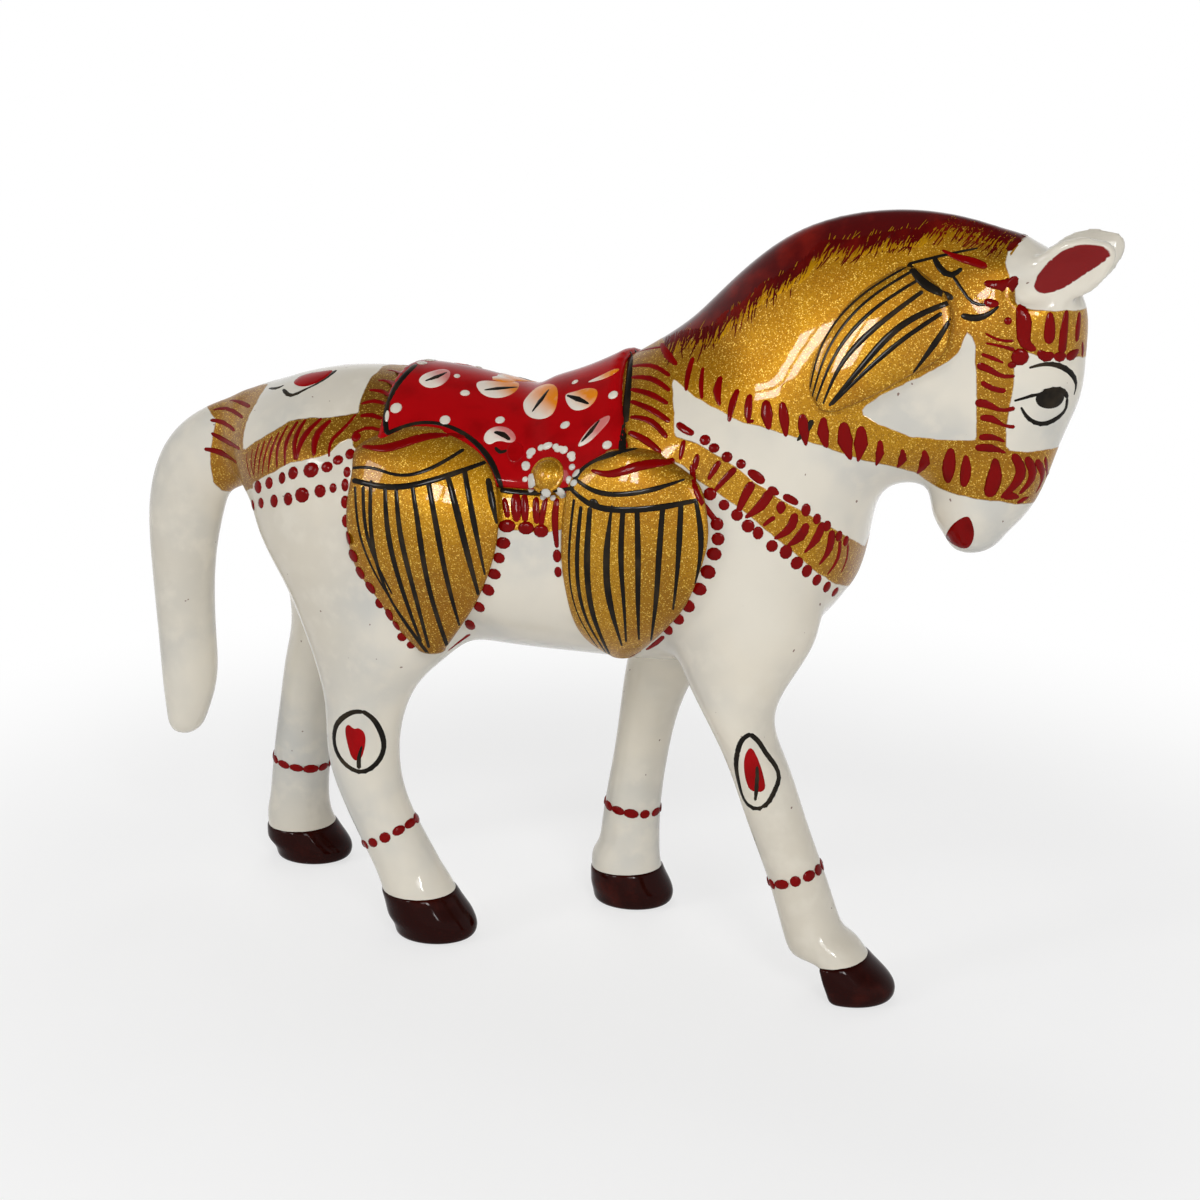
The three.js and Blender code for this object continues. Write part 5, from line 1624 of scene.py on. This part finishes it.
def mane_hairs(land):
    """Fine hairs over the lower edge of the mane, dark ones down and gold ones up."""
    edge = np.array(MANE_EDGE, float)
    knots = run_lengths(edge)
    kinds = [(maroon, 1, *hair) for hair in DARK_HAIRS] + [(hair_gold, -1, *hair) for hair in GOLD_HAIRS]
    for share in HAIR_PLACES:
        x, y = (np.interp(share * knots[-1], knots, edge[:, k]) for k in (0, 1))
        lean = HAIR_LEAN + HAIR_LEAN_GROWTH * share
        for lines, way, root, shortest, longest, loss, wide in kinds:
            long = way * chance.uniform(shortest, longest - loss * share)
            slant = lean + chance.uniform(-HAIR_LEAN_STRAY, HAIR_LEAN_STRAY)
            start = np.array([x + chance.uniform(-HAIR_STRAY, HAIR_STRAY), y + root])
            bend = np.array([chance.uniform(-HAIR_BEND, HAIR_BEND), 0])
            middle = start + bend + 0.5 * long * np.array([slant, 1])
            end = start + long * np.array([slant * HAIR_CURL, 1])
            lines.draw((wide, wide * HAIR_WAIST, HAIR_TIP), [start, middle, end], land)


def petal(orange, pink, outline, land):
    """A petal: its points and faces, and how far orange and pink shade each point."""
    points, faces, pixels = patch(outline, land)
    along = pixels @ SHADE_WAY
    place = (along - along.mean()) / np.ptp(along)
    shade = np.clip(0.5 + SHADE_SLOPE * (place - SHADE_LAG + 0.5 * max(orange, pink)), 0, 1)
    return points, faces, shade * (orange > 0), shade * (pink > 0) * PINK_SHARE


DABS = [("bright", ROSETTE_DAB), ("red", NOSTRIL), ("bright", RUMP_DAB), ("black", PUPIL)]
for side in HANDS.values():
    land = land_on(side)
    patches["petal"] += [petal(*row, land) for row in PETALS]
    for colour, outline in DABS:
        patches[colour].append(patch(outline, land)[:2])
leg_sides = [
    (oval, land)
    for leg, (pair, *oval) in LEG_OVALS.items()
    for land in (land_on(HANDS["right"]), other_leg(leg, pair))
]
for (_, dab, _), land in leg_sides:
    patches["bright"].append(patch(dab, land)[:2])

# Strokes and dots go over the filled shapes
painted = castings + [some[:2] for colour in patches.values() for some in colour]
form_tree = form_of(painted)
form_object = placed("painting_form", plain_mesh("painting_form", *merged(painted)))
for side in HANDS.values():
    land = land_on(side)
    for lines, swell, strokes, land_stroke in (
        (red, RED_SWELL, RED_STROKES, land),
        (black, BLACK_SWELL, BLACK_STROKES, land),
        (black, BLACK_SWELL, RELIEF_STROKES, land_on(side, relief_start)),
    ):
        for widths, pixels in strokes:
            lines.draw(swell * np.array(widths), pixels, land_stroke)
    mane_hairs(land)
    maroon.draw(*MANE_END, land)
    white_bead.draw(*BELLY_SEAM, land)
    red_dots.set_down(RED_DOTS, land, side)
    white_dots.set_down(WHITE_DOTS + medallion_ring(), land, side)
for (rim, _, line), land in leg_sides:
    black.draw(OVAL_RIM, rim, land)
    black.draw(*line, land)
for leg, pixel in ANKLETS.items():
    anklet(leg, pixel)

strokes_of_paint = brush_tree()
for name, lines, material, slot, rise in (
    ("red_brush_strokes", red, red_paint, "red_enamel", PAINT_RISE),
    ("black_brush_strokes", black, black_paint, None, PAINT_RISE),
    ("mane_hairs", maroon, maroon_paint, None, HAIR_RISE),
    ("mane_gold_hairs", hair_gold, hair_gold_paint, "gold_enamel", GOLD_HAIR_RISE),
    ("belly_seam", white_bead, bead_paint, "white_enamel", PAINT_RISE),
):
    made = grown(
        name, lines.mesh(name), strokes_of_paint,
        Form=form_object, Rise=rise, Sides=STROKE_SIDES, Material=material,
    )
    piece(name, made, material)
drops_of_paint = dots_tree()
for name, dots, material, slot in (
    ("red_dots", red_dots, red_paint, "red_enamel"),
    ("white_dots", white_dots, bead_paint, "white_enamel"),
):
    made = grown(
        name, dots.mesh(name), drops_of_paint,
        Segments=DROP_SEGMENTS, Rings=DROP_RINGS, Material=material,
    )
    piece(name, made, material)
for name, colour, material, slot in (
    ("nostrils", "red", red_paint, "red_enamel"),
    ("red_dabs", "bright", bright_red_paint, "red_enamel"),
    ("eye_pupils", "black", black_paint, None),
):
    piece(name, plain_mesh(name, *merged(patches[colour])), material)
petals = plain_mesh("saddle_petals", *merged([some[:2] for some in patches["petal"]]))
store(petals, "orange", np.concatenate([some[2] for some in patches["petal"]]))
store(petals, "pink", np.concatenate([some[3] for some in patches["petal"]]))
piece("saddle_petals", petals, petal_paint)
bpy.data.objects.remove(form_object)


# Stage, light and camera

FLOOR_HALF = 3
AMBIENT, CEILING = 0.25, 0.15
BACKDROP_END = (0.35, 0.75)  # how high the white backdrop goes, and where the dim ceiling begins
LAMP_AIM = Vector((0, 0, 0.035))
CLIP_START = 0.01
# Each lamp: place, size, power, and what its light shows in
LAMPS = (
    ("soft_box_key", (0.28, -0.42, 0.36), (0.17, 0.17), 1.02, "diffuse glossy"),
    ("soft_box_fill", (-0.4, -0.36, 0.3), (0.12, 0.12), 0.6, "diffuse glossy"),
    ("soft_box_low", (0.16, -0.34, 0.02), (0.2, 0.06), 0.3, "diffuse"),
    ("soft_box_back", (-0.15, 0.3, 0.55), (0.3, 0.3), 0.8, "diffuse"),
    ("window_left_pane", (-0.19, -0.48, 0.3), (0.035, 0.11), 0.45, "glossy"),
    ("window_right_pane", (-0.145, -0.495, 0.3), (0.035, 0.11), 0.45, "glossy"),
    ("window_far", (0.33, -0.38, 0.3), (0.05, 0.12), 0.7, "glossy"),
)


def pale_floor():
    corners = [(x * FLOOR_HALF, y * FLOOR_HALF, 0) for x, y in ((-1, -1), (1, -1), (1, 1), (-1, 1))]
    floor = bpy.data.meshes.new("floor")
    floor.from_pydata(corners, [], [(0, 1, 2, 3)])
    floor.materials.append(floor_finish())
    ground = placed("floor", floor)


def studio(scene):
    """A white backdrop under a dim ceiling for rays that show the background, and dim light for the rest."""
    world = scene.world or bpy.data.worlds.new("studio")
    scene.world = world
    world.use_nodes = True
    room = Nodes(world.node_tree)
    sky = room.tree.nodes["Background"].inputs
    place = room.add("ShaderNodeTexCoord").outputs["Generated"]
    height = room.add("ShaderNodeSeparateXYZ", {0: place}).outputs["Z"]
    backdrop = room.steps(height, *BACKDROP_END, 1, CEILING, kind="LINEAR")
    room.feed(sky["Color"], GLOW)
    room.feed(sky["Strength"], room.level(room.background(), AMBIENT, backdrop))


def lamps():
    for name, spot, size, power, lights in LAMPS:
        lamp = bpy.data.lights.new(name, "AREA")
        lamp.shape = "RECTANGLE"
        lamp.size, lamp.size_y = size
        lamp.energy = power
        thing = placed(name, lamp)
        thing.location = spot
        thing.rotation_euler = (LAMP_AIM - Vector(spot)).to_track_quat("-Z", "Y").to_euler()
        thing.visible_diffuse, thing.visible_glossy = "diffuse" in lights, "glossy" in lights


def photo_camera(scene):
    lens = bpy.data.cameras.new("photo_camera")
    lens.sensor_width = SENSOR
    lens.lens = FOCAL_PIXELS * SENSOR / PICTURE
    lens.clip_start = CLIP_START
    eye = placed("photo_camera", lens)
    turn = Matrix(np.stack([VIEW_RIGHT, VIEW_UP, VIEW_BACK], 1).tolist())
    eye.matrix_world = Matrix.Translation((VIEW_EYE + ROW_SHIFT) * MM) @ turn.to_4x4()
    scene.camera = eye


pale_floor()
studio(bpy.context.scene)
lamps()
photo_camera(bpy.context.scene)
bpy.context.scene.view_settings.view_transform = "Standard"
